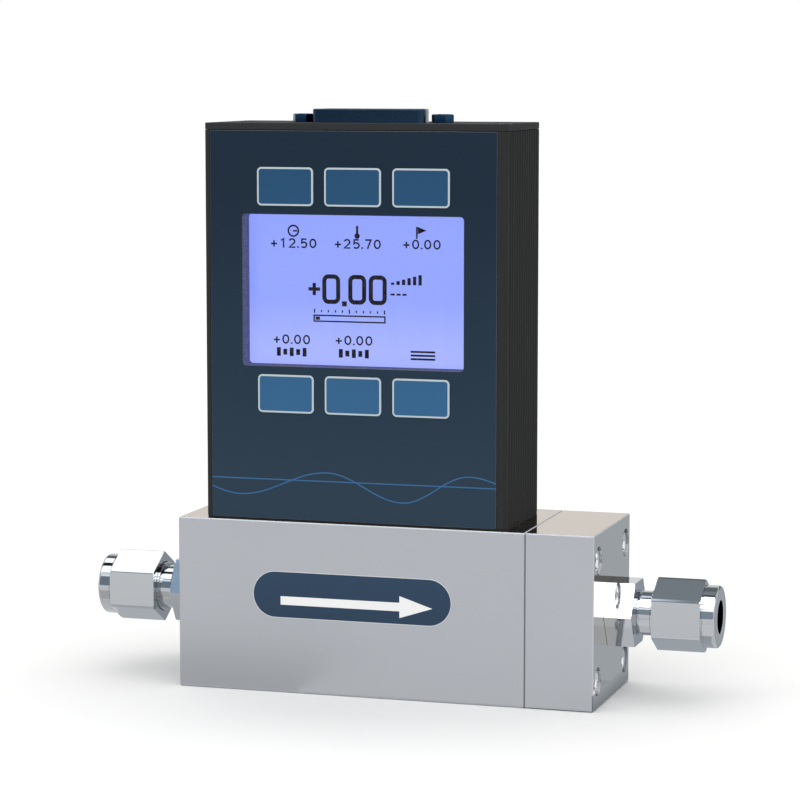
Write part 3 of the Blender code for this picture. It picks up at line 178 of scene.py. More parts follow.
class MeterFittings(bpy.types.PropertyGroup):
    """Compression fittings, lengths counted outwards from the block's end face."""

    steel: colour("Steel", "Turned and polished stainless steel", "#b0b3b7")
    body_flats: length("Body flats", "Body hexagon across its flats", 14.0)
    body_hex: length("Body hexagon", "Length of the body's hexagon", 6.1)
    neck: length("Neck", "Diameter of the neck between body and nut", 9.8)
    neck_groove: length("Neck groove", "Depth of the turned groove beside the body's hexagon", 0.45)
    neck_length: length("Neck length", "Length of the neck", 4.2)
    port_thread: length("Port thread", "Diameter of the thread in the block", 9.8)
    port_length: length("Port length", "Length of the thread in the block", 9.1)
    nut_thread: length("Nut thread", "Diameter of the nut's thread", 11.1)
    nut_thread_length: length("Nut thread length", "Length of the thread under the nut", 6.8)
    nut_flats: length("Nut flats", "Nut's hexagon across its flats", 14.1)
    nut_hex: length("Nut hexagon", "Length of the nut's hexagon", 10.7)
    nut_length: length("Nut length", "Whole length of the nut", 13.9)
    shoulder: length("Shoulder", "Diameter of the nut's round shoulder", 13.7)
    shoulder_round: length("Shoulder round", "Radius of the shoulder's outer edge", 0.7)
    nut_bore: length("Nut bore", "Diameter of the nut's tube bore", 7.3)
    seat: length("Ferrule seat", "Diameter at which the nut's ferrule seat starts", 9.9)
    seat_start: length("Seat start", "Ferrule seat from the body's end", 1.85)
    seat_length: length("Seat length", "Length of the nut's ferrule seat", 1.5)
    passage: length("Passage", "Diameter of the gas passage", 4.8)
    socket: length("Socket", "Diameter of the tube socket", 6.6)
    socket_depth: length("Socket depth", "Depth of the tube socket", 8.0)
    mouth: length("Mouth", "Diameter of the coned mouth", 8.6)
    mouth_depth: length("Mouth depth", "Depth of the coned mouth", 2.2)
    chamfer: length("Thread chamfer", "Chamfer at the ends of the threads", 0.6)
    thread_gap: length("Thread gap", "Clearance in the nut's thread", 0.12)
    collar: length("Collar", "Length of the collar between the body's hexagon and its groove", 0.35)
    corner: length("Hexagon corner", "Chamfer at the outer corners of the nuts' hexagons", 0.25)
    body_corner: length("Body corner", "Chamfer at the outer corners of the bodies' hexagons", 0.15)
    band: length("Band", "Length of the band between the neck and the nut", 0.6)
    edge: length("Edge", "Broken edge of the turned parts", 0.12)
    long_edge: length("Long edge", "How far the nuts' long edges are broken back", 0.05)


class MeterScrews(bpy.types.PropertyGroup):
    """Cap screws of the end block and the two long screws of the housing."""

    steel: colour("Steel", "Bright screw steel", "#e6e7e8")
    shank: length("Shank", "Diameter of both screws' shanks", 2.7)
    cap_head: length("Cap head", "Diameter of the cap screw's head", 5.5)
    cap_height: length("Cap height", "Height of the cap screw's head", 2.7)
    cap_recess: length("Cap recess", "How far the cap screw's head lies back from the mouth of its bore", 0.3)
    cap_flats: length("Cap socket", "Cap screw's socket across its flats", 2.5)
    cap_depth: length("Cap socket depth", "Depth of the cap screw's socket", 1.5)
    cap_cone: length("Cap cone", "Diameter of the coned mouth of the cap screw's socket", 4.3)
    cap_cone_depth: length("Cap cone depth", "Depth of that coned mouth", 0.4)
    tie_head: length("Countersunk head", "Diameter of the long screw's head", 5.4)
    tie_height: length("Countersunk height", "Height of the long screw's head", 1.3)
    tie_flats: length("Tie socket", "Long screw's socket across its flats", 2.0)
    tie_depth: length("Tie socket depth", "Depth of the long screw's socket", 0.9)
    edge: length("Edge", "Rounded edge of the heads", 0.35)
    point: length("Point", "Chamfer at the screw's point", 0.3)


class MeterHousing(bpy.types.PropertyGroup):
    """Extruded housing, its cover plate and the gasket under it."""

    black: colour("Black", "Black anodised aluminium", "#333434")
    plate_black: colour("Plate black", "Black anodised plate", "#353638")
    corner: length("Corner", "Radius of the upright corners", 1.2)
    side_skin: length("Side skin", "How far the sides stand out past the part's own", 0.25)
    wall: length("Wall", "Wall thickness", 2.2)
    grooves: IntProperty(name="Grooves", description="Grooves on each side", default=12, min=1)
    groove_pitch: length("Groove pitch", "Distance between grooves", 2.0)
    groove_width: length("Groove width", "Width of a groove", 1.4)
    groove_depth: length("Groove depth", "Depth of a groove", 0.5)
    groove_steps: IntProperty(name="Side steps", description="Facets along a ribbed side", default=416, min=8)
    channel_gap: length("Channel gap", "Gap beside the front film in its channel", 0.1)
    channel_depth: length("Channel depth", "Depth of the film's channel", 0.45)
    window_step: length("Window step", "How far the wall's window lies outside the film's", 0.2)
    edge: length("Edge", "Broken edge at the sawn ends", 0.1)
    plate_edge: length("Plate edge", "Broken edge of the cover plate", 0.15)
    cutout_gap: length("Cut-out gap", "Clearance round the connector in the plate", 0.3)
    jack_hole: length("Jack hole", "Diameter of the jack posts' holes", 3.4)
    countersink: length("Countersink", "Diameter of the countersinks", 5.5)
    gasket_step: length("Gasket step", "How much narrower the gasket is than the housing", 0.1)
    screw_hole: length("Screw hole", "Diameter of the long screws' holes", 3.3)


class MeterFilm(bpy.types.PropertyGroup):
    """Printed front film, its keys and its wave ornament."""

    # The film's two ground colours differ by painted shade: the top is drawn darker.
    top_colour: colour("Film, top", "Printed ground at the upper edge", "#1a2c3d")
    low_colour: colour("Film, foot", "Printed ground at the lower edge", "#2c3f50")
    # Paler than the print: partly the cut edge's own colour, partly a painted highlight along its rounding.
    film_edge_and_highlight_colour: colour("Film edge", "Cut edge of the film", "#50575f")
    key_top_colour: colour("Upper keys", "Printed ground of the upper keys", "#265074")
    key_low_colour: colour("Lower keys", "Printed ground of the lower keys", "#36658e")
    line_colour: colour("Lines", "Wave and base line", "#3a6b9a")
    window_width: length("Window width", "Width of the display's window", 50.4)
    window_shift: length("Window shift", "How far the window stands to the left of the lens's middle", 0.25)
    window_height: length("Window height", "Height of the display's window", 33.2)
    window_corner: length("Window corner", "Radius of the window's corners", 0.8)
    corner: length("Corner", "Radius of the film's corners", 0.15)
    left_skin: length("Left skin", "How far the film reaches past the part's own at the left", 0.4)
    right_cut: length("Right cut", "How far the film stays back from the part's own at the right", 0.2)
    top_skin: length("Top skin", "How far the film reaches above the part's own", 0.1)
    foot_skin: length("Foot skin", "How far the film reaches below the part's own", 0.28)
    edge: length("Edge", "Rounding of the film's cut edges", 0.15)
    key_corner: length("Key corner", "Radius of a key's corners", 1.0)
    key_edge: length("Key edge", "Rounding of a key's rim", 0.1)
    key_border: length("Key border", "Width of the pale border of a key", 0.3)
    key_print: colour("Key border print", "Pale border of a key", "#c3d0d8")
    key_dome: length("Key dome", "Rise of a key's middle over its border", 0.05)
    line_width: length("Line width", "Width of the printed lines", 0.27)
    line_rise: length("Line rise", "Thickness of the printed lines", 0.02)
    line_height: length("Line height", "Height of the base line", 47.5)


class MeterDisplay(bpy.types.PropertyGroup):
    """Lit display behind the window."""

    lit_top: colour("Lit, top", "Lit face at the upper edge", "#8b9dfe")
    lit_low: colour("Lit, foot", "Lit face at the lower edge", "#a1aefe")
    ink: colour("Ink", "Dark segments", "#1d1d22")
    bezel: length("Bezel", "How far the display's bezel reaches inside the window", 0.05)
    # The foam's grain colours are emitted: painted light standing in for the display's light on the foam.
    glow_dark: colour("Bezel, dark", "Dark grains of the lit foam round the display", "#2b3054")
    glow_pale: colour("Bezel, pale", "Pale grains of the lit foam round the display", "#5e6498")
    ink_rise: length("Ink rise", "Thickness of the dark segments", 0.02)
    bar_width: length("Bar width", "Width of the level bar", 16.6)
    bar_height: length("Bar height", "Height of the level bar", 1.6)
    stroke: length("Stroke", "Stroke of the large figures", 0.95)


class MeterConnector(bpy.types.PropertyGroup):
    """Fifteen-way connector on the cover plate."""

    shell: colour("Shell", "Blackened nickel shell", "#1e3348")
    jack: colour("Jack", "Blued steel of the jack posts", "#26435f")
    gold: colour("Gold", "Gold plated contacts", "#d8b25c")
    width: length("Width", "Shell's width at its wide side", 26.4)
    depth: length("Depth", "Shell's depth", 8.2)
    slant: angle("Slant", "Slant of the shell's short sides", 10.0)
    corner: length("Corner", "Radius of the shell's corners", 1.4)
    sheet: length("Sheet", "Thickness of the shell's sheet", 0.5)
    flange_width: length("Flange width", "Width of the flange", 39.1)
    flange_depth: length("Flange depth", "Depth of the flange", 12.5)
    flange: length("Flange", "Thickness of the flange", 1.0)
    jack_spacing: length("Jack spacing", "Distance between the jack posts", 32.1)
    jack_flats: length("Jack flats", "Jack post across its flats", 4.4)
    jack_stem: length("Jack stem", "Diameter of the post's stem", 2.8)
    jack_bore: length("Jack bore", "Diameter of the post's threaded bore", 2.3)
    jack_bore_depth: length("Jack bore depth", "Depth of the post's bore", 1.3)
    contact_pitch: length("Contact pitch", "Distance between contacts in a row", 2.74)
    row_pitch: length("Row pitch", "Distance between the two rows", 2.84)
    contact_outer: length("Contact", "Outer diameter of a contact", 1.1)
    contact_inner: length("Contact bore", "Inner diameter of a contact", 0.7)
    contact_top: length("Contact depth", "Contact's end below the insulator's face", 0.3)
    contact_length: length("Contact length", "Length of a contact", 2.5)


class MeterStage(bpy.types.PropertyGroup):
    """Camera, floor and studio light."""

    camera_x: length("Camera X", "Camera along the flow", 189.57)
    camera_y: length("Camera Y", "Camera across the flow", -616.99)
    camera_z: length("Camera Z", "Camera above the underside", 137.94)
    azimuth: angle("Azimuth", "Turn of the view round the vertical", 17.18)
    elevation: angle("Elevation", "View's slope down to the meter", 6.523)
    lens: FloatProperty(name="Lens", description="Focal length in millimetres", default=131.33)
    floor_size: length("Floor", "Width of the floor", 9000.0)
    floor_colour: colour("Floor colour", "Pale floor", "#f2f2f1")
    floor_glow: FloatProperty(name="Floor glow", description="Lift of the floor that is seen", default=0.24)
    contact: length("Contact", "Reach of the dark contact shadow on the floor", 60.0)
    ambient: FloatProperty(name="Ambient", description="Level of the light from all round", default=0.9)
    key: FloatProperty(name="Key", description="Power of the large lamp in watts", default=2.4)
    fill: FloatProperty(name="Fill", description="Power of the small lamp in watts", default=0.6)
    flag_height: length("Flag height", "Height of the studio flags over the floor", 1420.0)
    softbox: FloatProperty(name="Softbox", description="Level of the white boards", default=2.3)
    bright_box: FloatProperty(name="Bright box", description="Level of the outlet's board", default=4.8)
    wall_distance: length("Wall distance", "Distance of the grey studio wall in front", 2200.0)


def user_values(group):
    """Values of one of the meter's property groups."""
    return getattr(bpy.context.scene, "meter_" + group)


# Surfaces


def quads(rows, columns, closed_rows=False, closed_columns=True):
    """Faces of a grid whose points run row by row: each joins two neighbours in two neighbouring rows."""
    row = np.arange(rows if closed_rows else rows - 1)[:, None]
    column = np.arange(columns if closed_columns else columns - 1)[None, :]
    above = (row + 1) % rows
    beside = (column + 1) % columns
    corners = (row * columns + column, row * columns + beside, above * columns + beside,
               above * columns + column)
    return np.stack(np.broadcast_arrays(*corners), axis=-1).reshape(-1, 4)


def stack(rows):
    """Closed solid from a stack of loops, rows x points x 3, with a flat face on the first and last."""
    count, columns = rows.shape[:2]
    faces = quads(count, columns).tolist()
    caps = [list(range(columns)), list(range((count - 1) * columns, count * columns))]
    return rows.reshape(-1, 3), faces + caps


def sleeve(rows):
    """Closed solid from loops that run round its section and back to the first one."""
    count, columns = rows.shape[:2]
    return rows.reshape(-1, 3), quads(count, columns, closed_rows=True).tolist()


def joined(solids):
    """Several solids as one list of points and one of faces."""
    starts = np.cumsum([0] + [len(points) for points, _ in solids])
    points = np.concatenate([points for points, _ in solids])
    faces = [[int(i) + int(start) for i in face] for (_, made), start in zip(solids, starts) for face in made]
    return points, faces


def put(points, origin, axes):
    """Turn points from a piece's own axes to the frame's and move them to their place."""
    return points @ np.array(axes) + np.array(origin)


def placed(solid, origin, axes):
    """Solid with its points put in their place."""
    points, faces = solid
    return put(points, origin, axes), faces


def raised(loop, heights):
    """Loops of x and y points lifted to their heights: one loop for all, or one for each height."""
    loops = np.broadcast_to(loop, (len(heights),) + np.shape(loop)[-2:])
    lift = np.broadcast_to(np.asarray(heights)[:, None, None], loops.shape[:2] + (1,))
    return np.concatenate([loops, lift], axis=2)


def arc(centre, radius, start, stop, steps):
    """Points of a circular arc: centre plus radius times the cosine and sine of an even turn."""
    turn = np.linspace(start, stop, steps + 1)
    return np.stack([centre[0] + radius * np.cos(turn), centre[1] + radius * np.sin(turn)], axis=1)


def filleted(corners, radius, steps=CORNER_STEPS):
    """Anticlockwise convex outline with an arc in each corner, tangent to both its sides."""
    corners = np.asarray(corners, float)
    back = np.roll(corners, 1, axis=0) - corners
    ahead = np.roll(corners, -1, axis=0) - corners
    back /= np.linalg.norm(back, axis=1, keepdims=True)
    ahead /= np.linalg.norm(ahead, axis=1, keepdims=True)
    half = np.arccos(np.sum(back * ahead, axis=1)) / 2
    middle = back + ahead
    middle /= np.linalg.norm(middle, axis=1, keepdims=True)
    centres = corners + middle * (radius / np.sin(half))[:, None]
    first = corners + back * (radius / np.tan(half))[:, None] - centres
    start = np.arctan2(first[:, 1], first[:, 0])
    turn = start[:, None] + (math.pi - 2 * half)[:, None] * np.linspace(0.0, 1.0, steps + 1)
    points = centres[:, None, :] + radius * np.stack([np.cos(turn), np.sin(turn)], axis=2)
    return points.reshape(-1, 2)


def rectangle(width, height, centre=(0.0, 0.0)):
    """Corners of a rectangle, anticlockwise from the lower left."""
    signs = np.array([(-1, -1), (1, -1), (1, 1), (-1, 1)])
    return signs * np.array([width / 2, height / 2]) + np.array(centre)


def inset(loop, distance):
    """Loop moved inwards: each point slides along the sum of its two sides' normals, so both sides move
    by the distance."""
    side = np.roll(loop, -1, axis=0) - loop
    normal = np.stack([-side[:, 1], side[:, 0]], axis=1) / np.linalg.norm(side, axis=1, keepdims=True)
    both = normal + np.roll(normal, 1, axis=0)
    return loop + 2 * distance * both / np.sum(both ** 2, axis=1, keepdims=True)


def pad(loop, low, high, edge, steps=4):
    """Rows of a flat solid on a loop: straight up from low, then over a quarter-round edge to high. The
    loop moves in by edge x (1 - cos) while it climbs by edge x sin."""
    turn = np.linspace(0.0, math.pi / 2, steps + 1)
    loops = [loop] + [inset(loop, edge * (1 - math.cos(t))) for t in turn]
    heights = [low] + [high - edge + edge * math.sin(t) for t in turn]
    return raised(np.stack(loops), heights)


def fine(profile, step=PROFILE_STEP):
    """Profile with points added along its straight runs, no further apart than a step."""
    profile = np.asarray(profile, float)
    run = np.linalg.norm(np.diff(profile, axis=0), axis=1)
    parts = [
        np.linspace(profile[i], profile[i + 1], max(1, math.ceil(run[i] / step)), endpoint=False)
        for i in range(len(run))
    ]
    return np.concatenate(parts + [profile[-1:]])


def hexagon_radius(turn, flats, corner):
    """Distance from a hexagon's middle to its side in each direction: half the flats over the cosine of
    the angle to the nearest flat."""
    off = np.mod(turn - corner, math.pi / 3) - math.pi / 6
    return flats / 2 / np.cos(off)


def turned(profile, steps=ROUND_STEPS, flats=None, corner=0.0):
    """Rows of a turned piece from its profile of radius and height. With flats it is milled to a hexagon:
    the radius is the smaller of the profile's and the hexagon's."""
    turn = np.arange(steps) * 2 * math.pi / steps
    radius = np.repeat(np.asarray(profile)[:, :1], steps, axis=1)
    if flats is not None:
        radius = np.minimum(radius, hexagon_radius(turn, flats, corner))
    height = np.repeat(np.asarray(profile)[:, 1:], steps, axis=1)
    return np.stack([radius * np.cos(turn), radius * np.sin(turn), height], axis=2)


def socket_rows(top, flats, depth, steps):
    """Rows of a hexagon socket: its mouth, its straight wall and its floor."""
    turn = np.arange(steps) * 2 * math.pi / steps
    wide = hexagon_radius(turn, flats, 0.0)
    loop = np.stack([wide * np.cos(turn), wide * np.sin(turn)], axis=1)
    break_edge = 0.06 * MM
    loops = np.stack([loop * (1 + 2 * break_edge / flats), loop, loop])
    return raised(loops, [top, top - break_edge, top - depth])


def strip(path, width, rise):
    """Flat band along a path of x and y points, mitred at its corners: each point moved to both sides
    along the mean of the two segments' normals, with a top lifted by its thickness. The least cosine
    keeps a sharp corner's mitre short."""
    least_cosine = 0.55
    step = np.diff(path, axis=0)
    normal = np.stack([-step[:, 1], step[:, 0]], axis=1) / np.linalg.norm(step, axis=1, keepdims=True)
    before, after = np.concatenate([normal[:1], normal]), np.concatenate([normal, normal[-1:]])
    mitre = (before + after) / np.linalg.norm(before + after, axis=1, keepdims=True)
    side = mitre * width / 2 / np.maximum(np.sum(mitre * after, axis=1), least_cosine)[:, None]
    left, right = path + side, path - side
    loops = np.stack([right, right, left, left], axis=1)
    lift = np.broadcast_to(np.array([0.0, rise, rise, 0.0])[None, :, None], loops.shape[:2] + (1,))
    return np.concatenate([loops, lift], axis=2)


# Pieces


def shade(mesh):
    """Smooth shading, broken at the mesh's sharp edges."""
    mesh.shade_smooth()
    mesh.set_sharp_from_angle(angle=SHARP_ANGLE)


def solid_mesh(name, solid):
    """Mesh of a solid, its seams welded and its faces turned outwards."""
    mesh = bpy.data.meshes.new(name)
    points, faces = solid
    mesh.from_pydata(np.asarray(points).tolist(), [], faces)
    work = bmesh.new()
    work.from_mesh(mesh)
    bmesh.ops.remove_doubles(work, verts=work.verts[:], dist=WELD)
    bmesh.ops.recalc_face_normals(work, faces=work.faces[:])
    work.to_mesh(mesh)
    work.free()
    shade(mesh)
    return mesh


def piece(name, solid, surface, slot, *nodes):
    """Piece of the meter with its material, in place of the packed nodes that it stands for."""
    mesh = solid_mesh(name, solid)
    mesh.materials.append(surface)
    made = bpy.data.objects.new(name, mesh)
    bpy.context.scene.collection.objects.link(made)
    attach(made, BODY)
    if nodes:
        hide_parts(*nodes)
    return made


def cut(target, solid):
    """Cut a closed solid out of a piece and keep the result as its mesh."""
    guide = bpy.data.objects.new("guide", solid_mesh("guide", solid))
    bpy.context.scene.collection.objects.link(guide)
    modifier = target.modifiers.new("cut", "BOOLEAN")
    modifier.operation = "DIFFERENCE"
    modifier.solver = "EXACT"
    modifier.object = guide
    result = bpy.data.meshes.new_from_object(target.evaluated_get(bpy.context.evaluated_depsgraph_get()))
    target.modifiers.clear()
    target.data = result
    bpy.data.objects.remove(guide)
    shade(target.data)


def drill(target, centre, profile):
    """Cut a turned solid that stands upright on a centre out of a piece."""
    cut(target, stack(put(turned(profile, SCREW_STEPS), (*centre[:2], 0.0), FACING_UP)))


def drill_for_jacks(target, middle, radius, low, high):
    """Cut the two jack posts' holes through a piece that reaches from one height to another."""
    spacing = user_values("connector").jack_spacing
    for side in (-1, 1):
        centre = (middle[0] + side * spacing / 2, middle[1])
        drill(target, centre, [(radius, low - PAST), (radius, high + PAST)])


def paint_faces(target, surface, test):
    """Give a second material to the faces whose middle passes a test."""
    mesh = target.data
    mesh.materials.append(surface)
    centres = np.empty(len(mesh.polygons) * 3)
    mesh.polygons.foreach_get("center", centres)
    mesh.polygons.foreach_set("material_index", test(centres.reshape(-1, 3)).astype(np.int32))
    mesh.update()


def dress(surface, *nodes):
    """Give packed nodes that are shown as they are their material."""
    for name in nodes:
        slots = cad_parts[name].data.materials
        slots.clear()
        slots.append(surface)


def corners(node):
    """Lowest and highest corner of a packed node as arrays."""
    low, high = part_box(node)
    return np.array(low), np.array(high)


def middle_of(node):
    """Middle of a packed node's box: half the sum of its two corners."""
    low, high = corners(node)
    return (low + high) / 2


def size_of(node):
    """Sides of a packed node's box: its highest corner less its lowest."""
    low, high = corners(node)
    return high - low


# Materials


def add(tree, kind, inputs=None, **settings):
    """Add a node, give it its settings, and fill its inputs with values or with other nodes' sockets."""
    node = tree.nodes.new(kind)
    for name, value in settings.items():
        setattr(node, name, value)
    for name, value in (inputs or {}).items():
        if isinstance(value, bpy.types.NodeSocket):
            tree.links.new(value, node.inputs[name])
        else:
            node.inputs[name].default_value = value
    return node


def surface_of(name, tint, roughness, metallic=0.0, gloss=0.5):
    """Material with its plain values on the shader. Gloss is the specular level of a surface that is no
    metal."""
    made = bpy.data.materials.new(name)
    made.use_nodes = True
    shader = made.node_tree.nodes["Principled BSDF"]
    shader.inputs["Base Color"].default_value = (*tint, 1.0)
    shader.inputs["Roughness"].default_value = roughness
    shader.inputs["Metallic"].default_value = metallic
    shader.inputs["Specular IOR Level"].default_value = gloss
    return made, made.node_tree, shader


def grain(tree, size, detail=2.0):
    """Noise whose grains have a real size in millimetres: one for all directions, or one each along X, Y
    and Z."""
    place = add(tree, "ShaderNodeTexCoord")
    per_metre = [1 / (s * MM) for s in np.broadcast_to(size, 3)]
    scaled = add(tree, "ShaderNodeMapping", {"Vector": place.outputs["Object"], "Scale": per_metre})
    return add(tree, "ShaderNodeTexNoise",
               {"Vector": scaled.outputs["Vector"], "Scale": 1.0, "Detail": detail}).outputs[0]


def relief(tree, shader, height, depth):
    """Bump of a depth in millimetres from a height pattern."""
    bump = add(tree, "ShaderNodeBump", {"Height": height, "Distance": depth * MM, "Strength": 1.0})
    tree.links.new(bump.outputs["Normal"], shader.inputs["Normal"])


def uneven(tree, shader, pattern, low, high):
    """Roughness that follows a pattern between two values."""
    spread = add(tree, "ShaderNodeMapRange", {0: pattern, 1: 0.3, 2: 0.7, 3: low, 4: high})
    tree.links.new(spread.outputs[0], shader.inputs["Roughness"])


def tinted(tree, socket, pattern, first, second, low=0.3, high=0.7):
    """Colour of a socket that runs from one colour to another while a pattern climbs from low to high."""
    share = add(tree, "ShaderNodeMapRange", {0: pattern, 1: low, 2: high})
    mix = add(tree, "ShaderNodeMix", {0: share.outputs[0], 6: (*first, 1.0), 7: (*second, 1.0)},
              data_type="RGBA")
    tree.links.new(mix.outputs[2], socket)


def scaled_colour(tint, share):
    """Colour made lighter or darker by a share."""
    return tuple(min(1.0, part * share) for part in tint)


def ground_stainless():
    """Stainless steel bar, fine ground on its sides and lapped on its top and ends: the sides look even and
    satin, the top mirrors the housing and the end mirrors the fitting. Its faces are tinted by the way they
    face, which is painted light. The top and end are paler than the sides to brighten their reflections, and
    the broken edges stay dull with a tint of their own that sets how bright their thin line shows."""
    s = user_values("block")
    made, tree, shader = surface_of("ground and lapped stainless steel", s.steel, 0.3, metallic=1.0)
    shader.inputs["Specular Tint"].default_value = (*s.sheen, 1.0)
    relief(tree, shader, grain(tree, (9.0, 9.0, 0.12), 3.0), depth=0.0016)
    cloud = grain(tree, (26.0, 26.0, 16.0))
    place = add(tree, "ShaderNodeTexCoord")
    facing = add(tree, "ShaderNodeSeparateXYZ", {"Vector": place.outputs["Normal"]})
    # Masks by the way a face points: the top, the end, and the broken edges' leaning faces less the top. Each
    # gets its own tint below, which is painted light.
    top, end, leaning = (
        add(tree, "ShaderNodeMath", {0: facing.outputs[axis], 1: limit}, operation="GREATER_THAN").outputs[0]
        for axis, limit in (("Z", 0.9), ("X", 0.9), ("Z", 0.3))
    )
    edge = add(tree, "ShaderNodeMath", {0: leaning, 1: top}, operation="SUBTRACT").outputs[0]
    pale, dark = (*scaled_colour(s.steel, 1.03), 1.0), (*scaled_colour(s.steel, 0.97), 1.0)
    chosen = dark
    masks = ((cloud, pale), (top, (*linear(TOP_FACE_PAINTED_LIGHT), 1.0)), (end, (*linear(END_FACE_PAINTED_LIGHT), 1.0)),
             (edge, (*linear(EDGE_PAINTED_LIGHT), 1.0)))
    for mask, tint in masks:
        chosen = add(tree, "ShaderNodeMix", {0: mask, 6: chosen, 7: tint}, data_type="RGBA").outputs[2]
    tree.links.new(chosen, shader.inputs["Base Color"])
    polish = add(tree, "ShaderNodeMath", {0: top, 1: end}, operation="MAXIMUM")
    rough = add(tree, "ShaderNodeMapRange", {0: polish.outputs[0], 3: 0.32, 4: 0.05})
    rough_edge = add(tree, "ShaderNodeMapRange", {0: edge, 3: rough.outputs[0], 4: 0.7})
    tree.links.new(rough_edge.outputs[0], shader.inputs["Roughness"])
    return made


def turned_stainless(name, tint, roughness):
    """Stainless steel turned on a lathe and polished: bright, with faint rings round the axis."""
    made, tree, shader = surface_of(name, tint, roughness, metallic=1.0)
    rings = grain(tree, (0.09, 30.0, 30.0), 1.0)
    uneven(tree, shader, grain(tree, 2.0), roughness * 0.8, roughness * 1.3)
    relief(tree, shader, rings, depth=0.0012)
    return made


def anodised_extrusion():
    """Black anodised aluminium profile: satin, with faint die lines along its length."""
    tint = user_values("housing").black
    made, tree, shader = surface_of("black anodised extrusion", tint, 0.5, gloss=0.01)
    lines = grain(tree, (0.16, 0.16, 70.0), 2.0)
    uneven(tree, shader, grain(tree, (3.0, 3.0, 9.0)), 0.45, 0.6)
    tinted(tree, shader.inputs["Base Color"], lines, scaled_colour(tint, 0.9), scaled_colour(tint, 1.1))
    relief(tree, shader, lines, depth=0.003)
    return made


def anodised_plate():
    """Black anodised plate, blasted before it was anodised: finely matt."""
    tint = user_values("housing").plate_black
    made, tree, shader = surface_of("black anodised blasted plate", tint, 0.55, gloss=0.03)
    grit = grain(tree, 0.12)
    tinted(tree, shader.inputs["Base Color"], grit, scaled_colour(tint, 0.88), scaled_colour(tint, 1.12))
    relief(tree, shader, grit, depth=0.005)
    return made


def printed_polyester(name, first, second, low, high):
    """Polyester film printed on its back, with a fine embossed face: satin. Its ground fades from the first
    colour at the low height to the second at the high height. On the front film this makes the top darker,
    which is painted shade. Low and high are the heights of the two colours."""
    made, tree, shader = surface_of(name, first, 0.4, gloss=0.1)
    place = add(tree, "ShaderNodeTexCoord")
    up = add(tree, "ShaderNodeSeparateXYZ", {"Vector": place.outputs["Object"]})
    tinted(tree, shader.inputs["Base Color"], up.outputs["Z"], first, second, low, high)
    emboss = grain(tree, 0.18, 1.0)
    uneven(tree, shader, grain(tree, 6.0), 0.38, 0.42)
    relief(tree, shader, emboss, depth=0.002)
    return made


def screen_print(name, tint):
    """Screen-printed ink: even and nearly matt, with the faint tooth of the mesh."""
    made, tree, shader = surface_of(name, tint, 0.5, gloss=0.15)
    tooth = grain(tree, 0.1, 1.0)
    tinted(tree, shader.inputs["Base Color"], tooth, scaled_colour(tint, 0.96), tint)
    relief(tree, shader, tooth, depth=0.002)
    return made


def lit_glass():
    """Face of a backlit liquid crystal display: it shines evenly, with faint upright streaks and a paler
    foot where the lamps sit."""
    s = user_values("display")
    foot = corners("display_panel")[0][2]
    made, tree, shader = surface_of("backlit display glass", (0.02, 0.02, 0.03), 0.3)
    place = add(tree, "ShaderNodeTexCoord")
    up = add(tree, "ShaderNodeSeparateXYZ", {"Vector": place.outputs["Object"]})
    streak = grain(tree, (2.2, 1.0, 90.0), 2.0)
    sway = add(tree, "ShaderNodeMath", {0: streak, 1: 6.0 * MM, 2: up.outputs["Z"]},
               operation="MULTIPLY_ADD")
    tinted(tree, shader.inputs["Emission Color"], sway.outputs[0], s.lit_low, s.lit_top, foot + 9 * MM,
           foot + 20 * MM)
    shader.inputs["Emission Strength"].default_value = 1.0
    return made


def clear_polycarbonate():
    """Clear polycarbonate sheet with an antireflection coat: it lets the display's light through and hardly
    mirrors the room."""
    made, tree, shader = surface_of("coated clear polycarbonate", (0.98, 0.985, 1.0), 0.03)
    shader.inputs["Transmission Weight"].default_value = 1.0
    shader.inputs["IOR"].default_value = 1.08
    uneven(tree, shader, grain(tree, 8.0), 0.0, 0.03)
    return made


def plain_surface(name, tint, roughness, metallic=0.0, size=0.3, depth=0.004, gloss=0.3):
    """Moulded or plated surface with one fine grain, its size and depth in millimetres."""
    made, tree, shader = surface_of(name, tint, roughness, metallic, gloss)
    pattern = grain(tree, size)
    tinted(tree, shader.inputs["Base Color"], pattern, scaled_colour(tint, 0.88), scaled_colour(tint, 1.1))
    uneven(tree, shader, pattern, roughness * 0.85, roughness * 1.15)
    relief(tree, shader, pattern, depth)
    return made


def solder_mask():
    """Glass epoxy board under green solder mask, with copper tracks that show as paler lines."""
    mask, track = linear("#1d5a38"), linear("#3d8b57")
    made, tree, shader = surface_of("green solder mask", mask, 0.3)
    place = add(tree, "ShaderNodeTexCoord")
    black, white = (0.0, 0.0, 0.0, 1.0), (1.0, 1.0, 1.0, 1.0)
    tracks = add(tree, "ShaderNodeTexBrick",
                 {"Vector": place.outputs["Object"], "Scale": 1 / (6 * MM), "Mortar Size": 0.06,
                  "Color1": black, "Color2": black, "Mortar": white})
    tinted(tree, shader.inputs["Base Color"], tracks.outputs[0], mask, track)
    return made


# Flow block


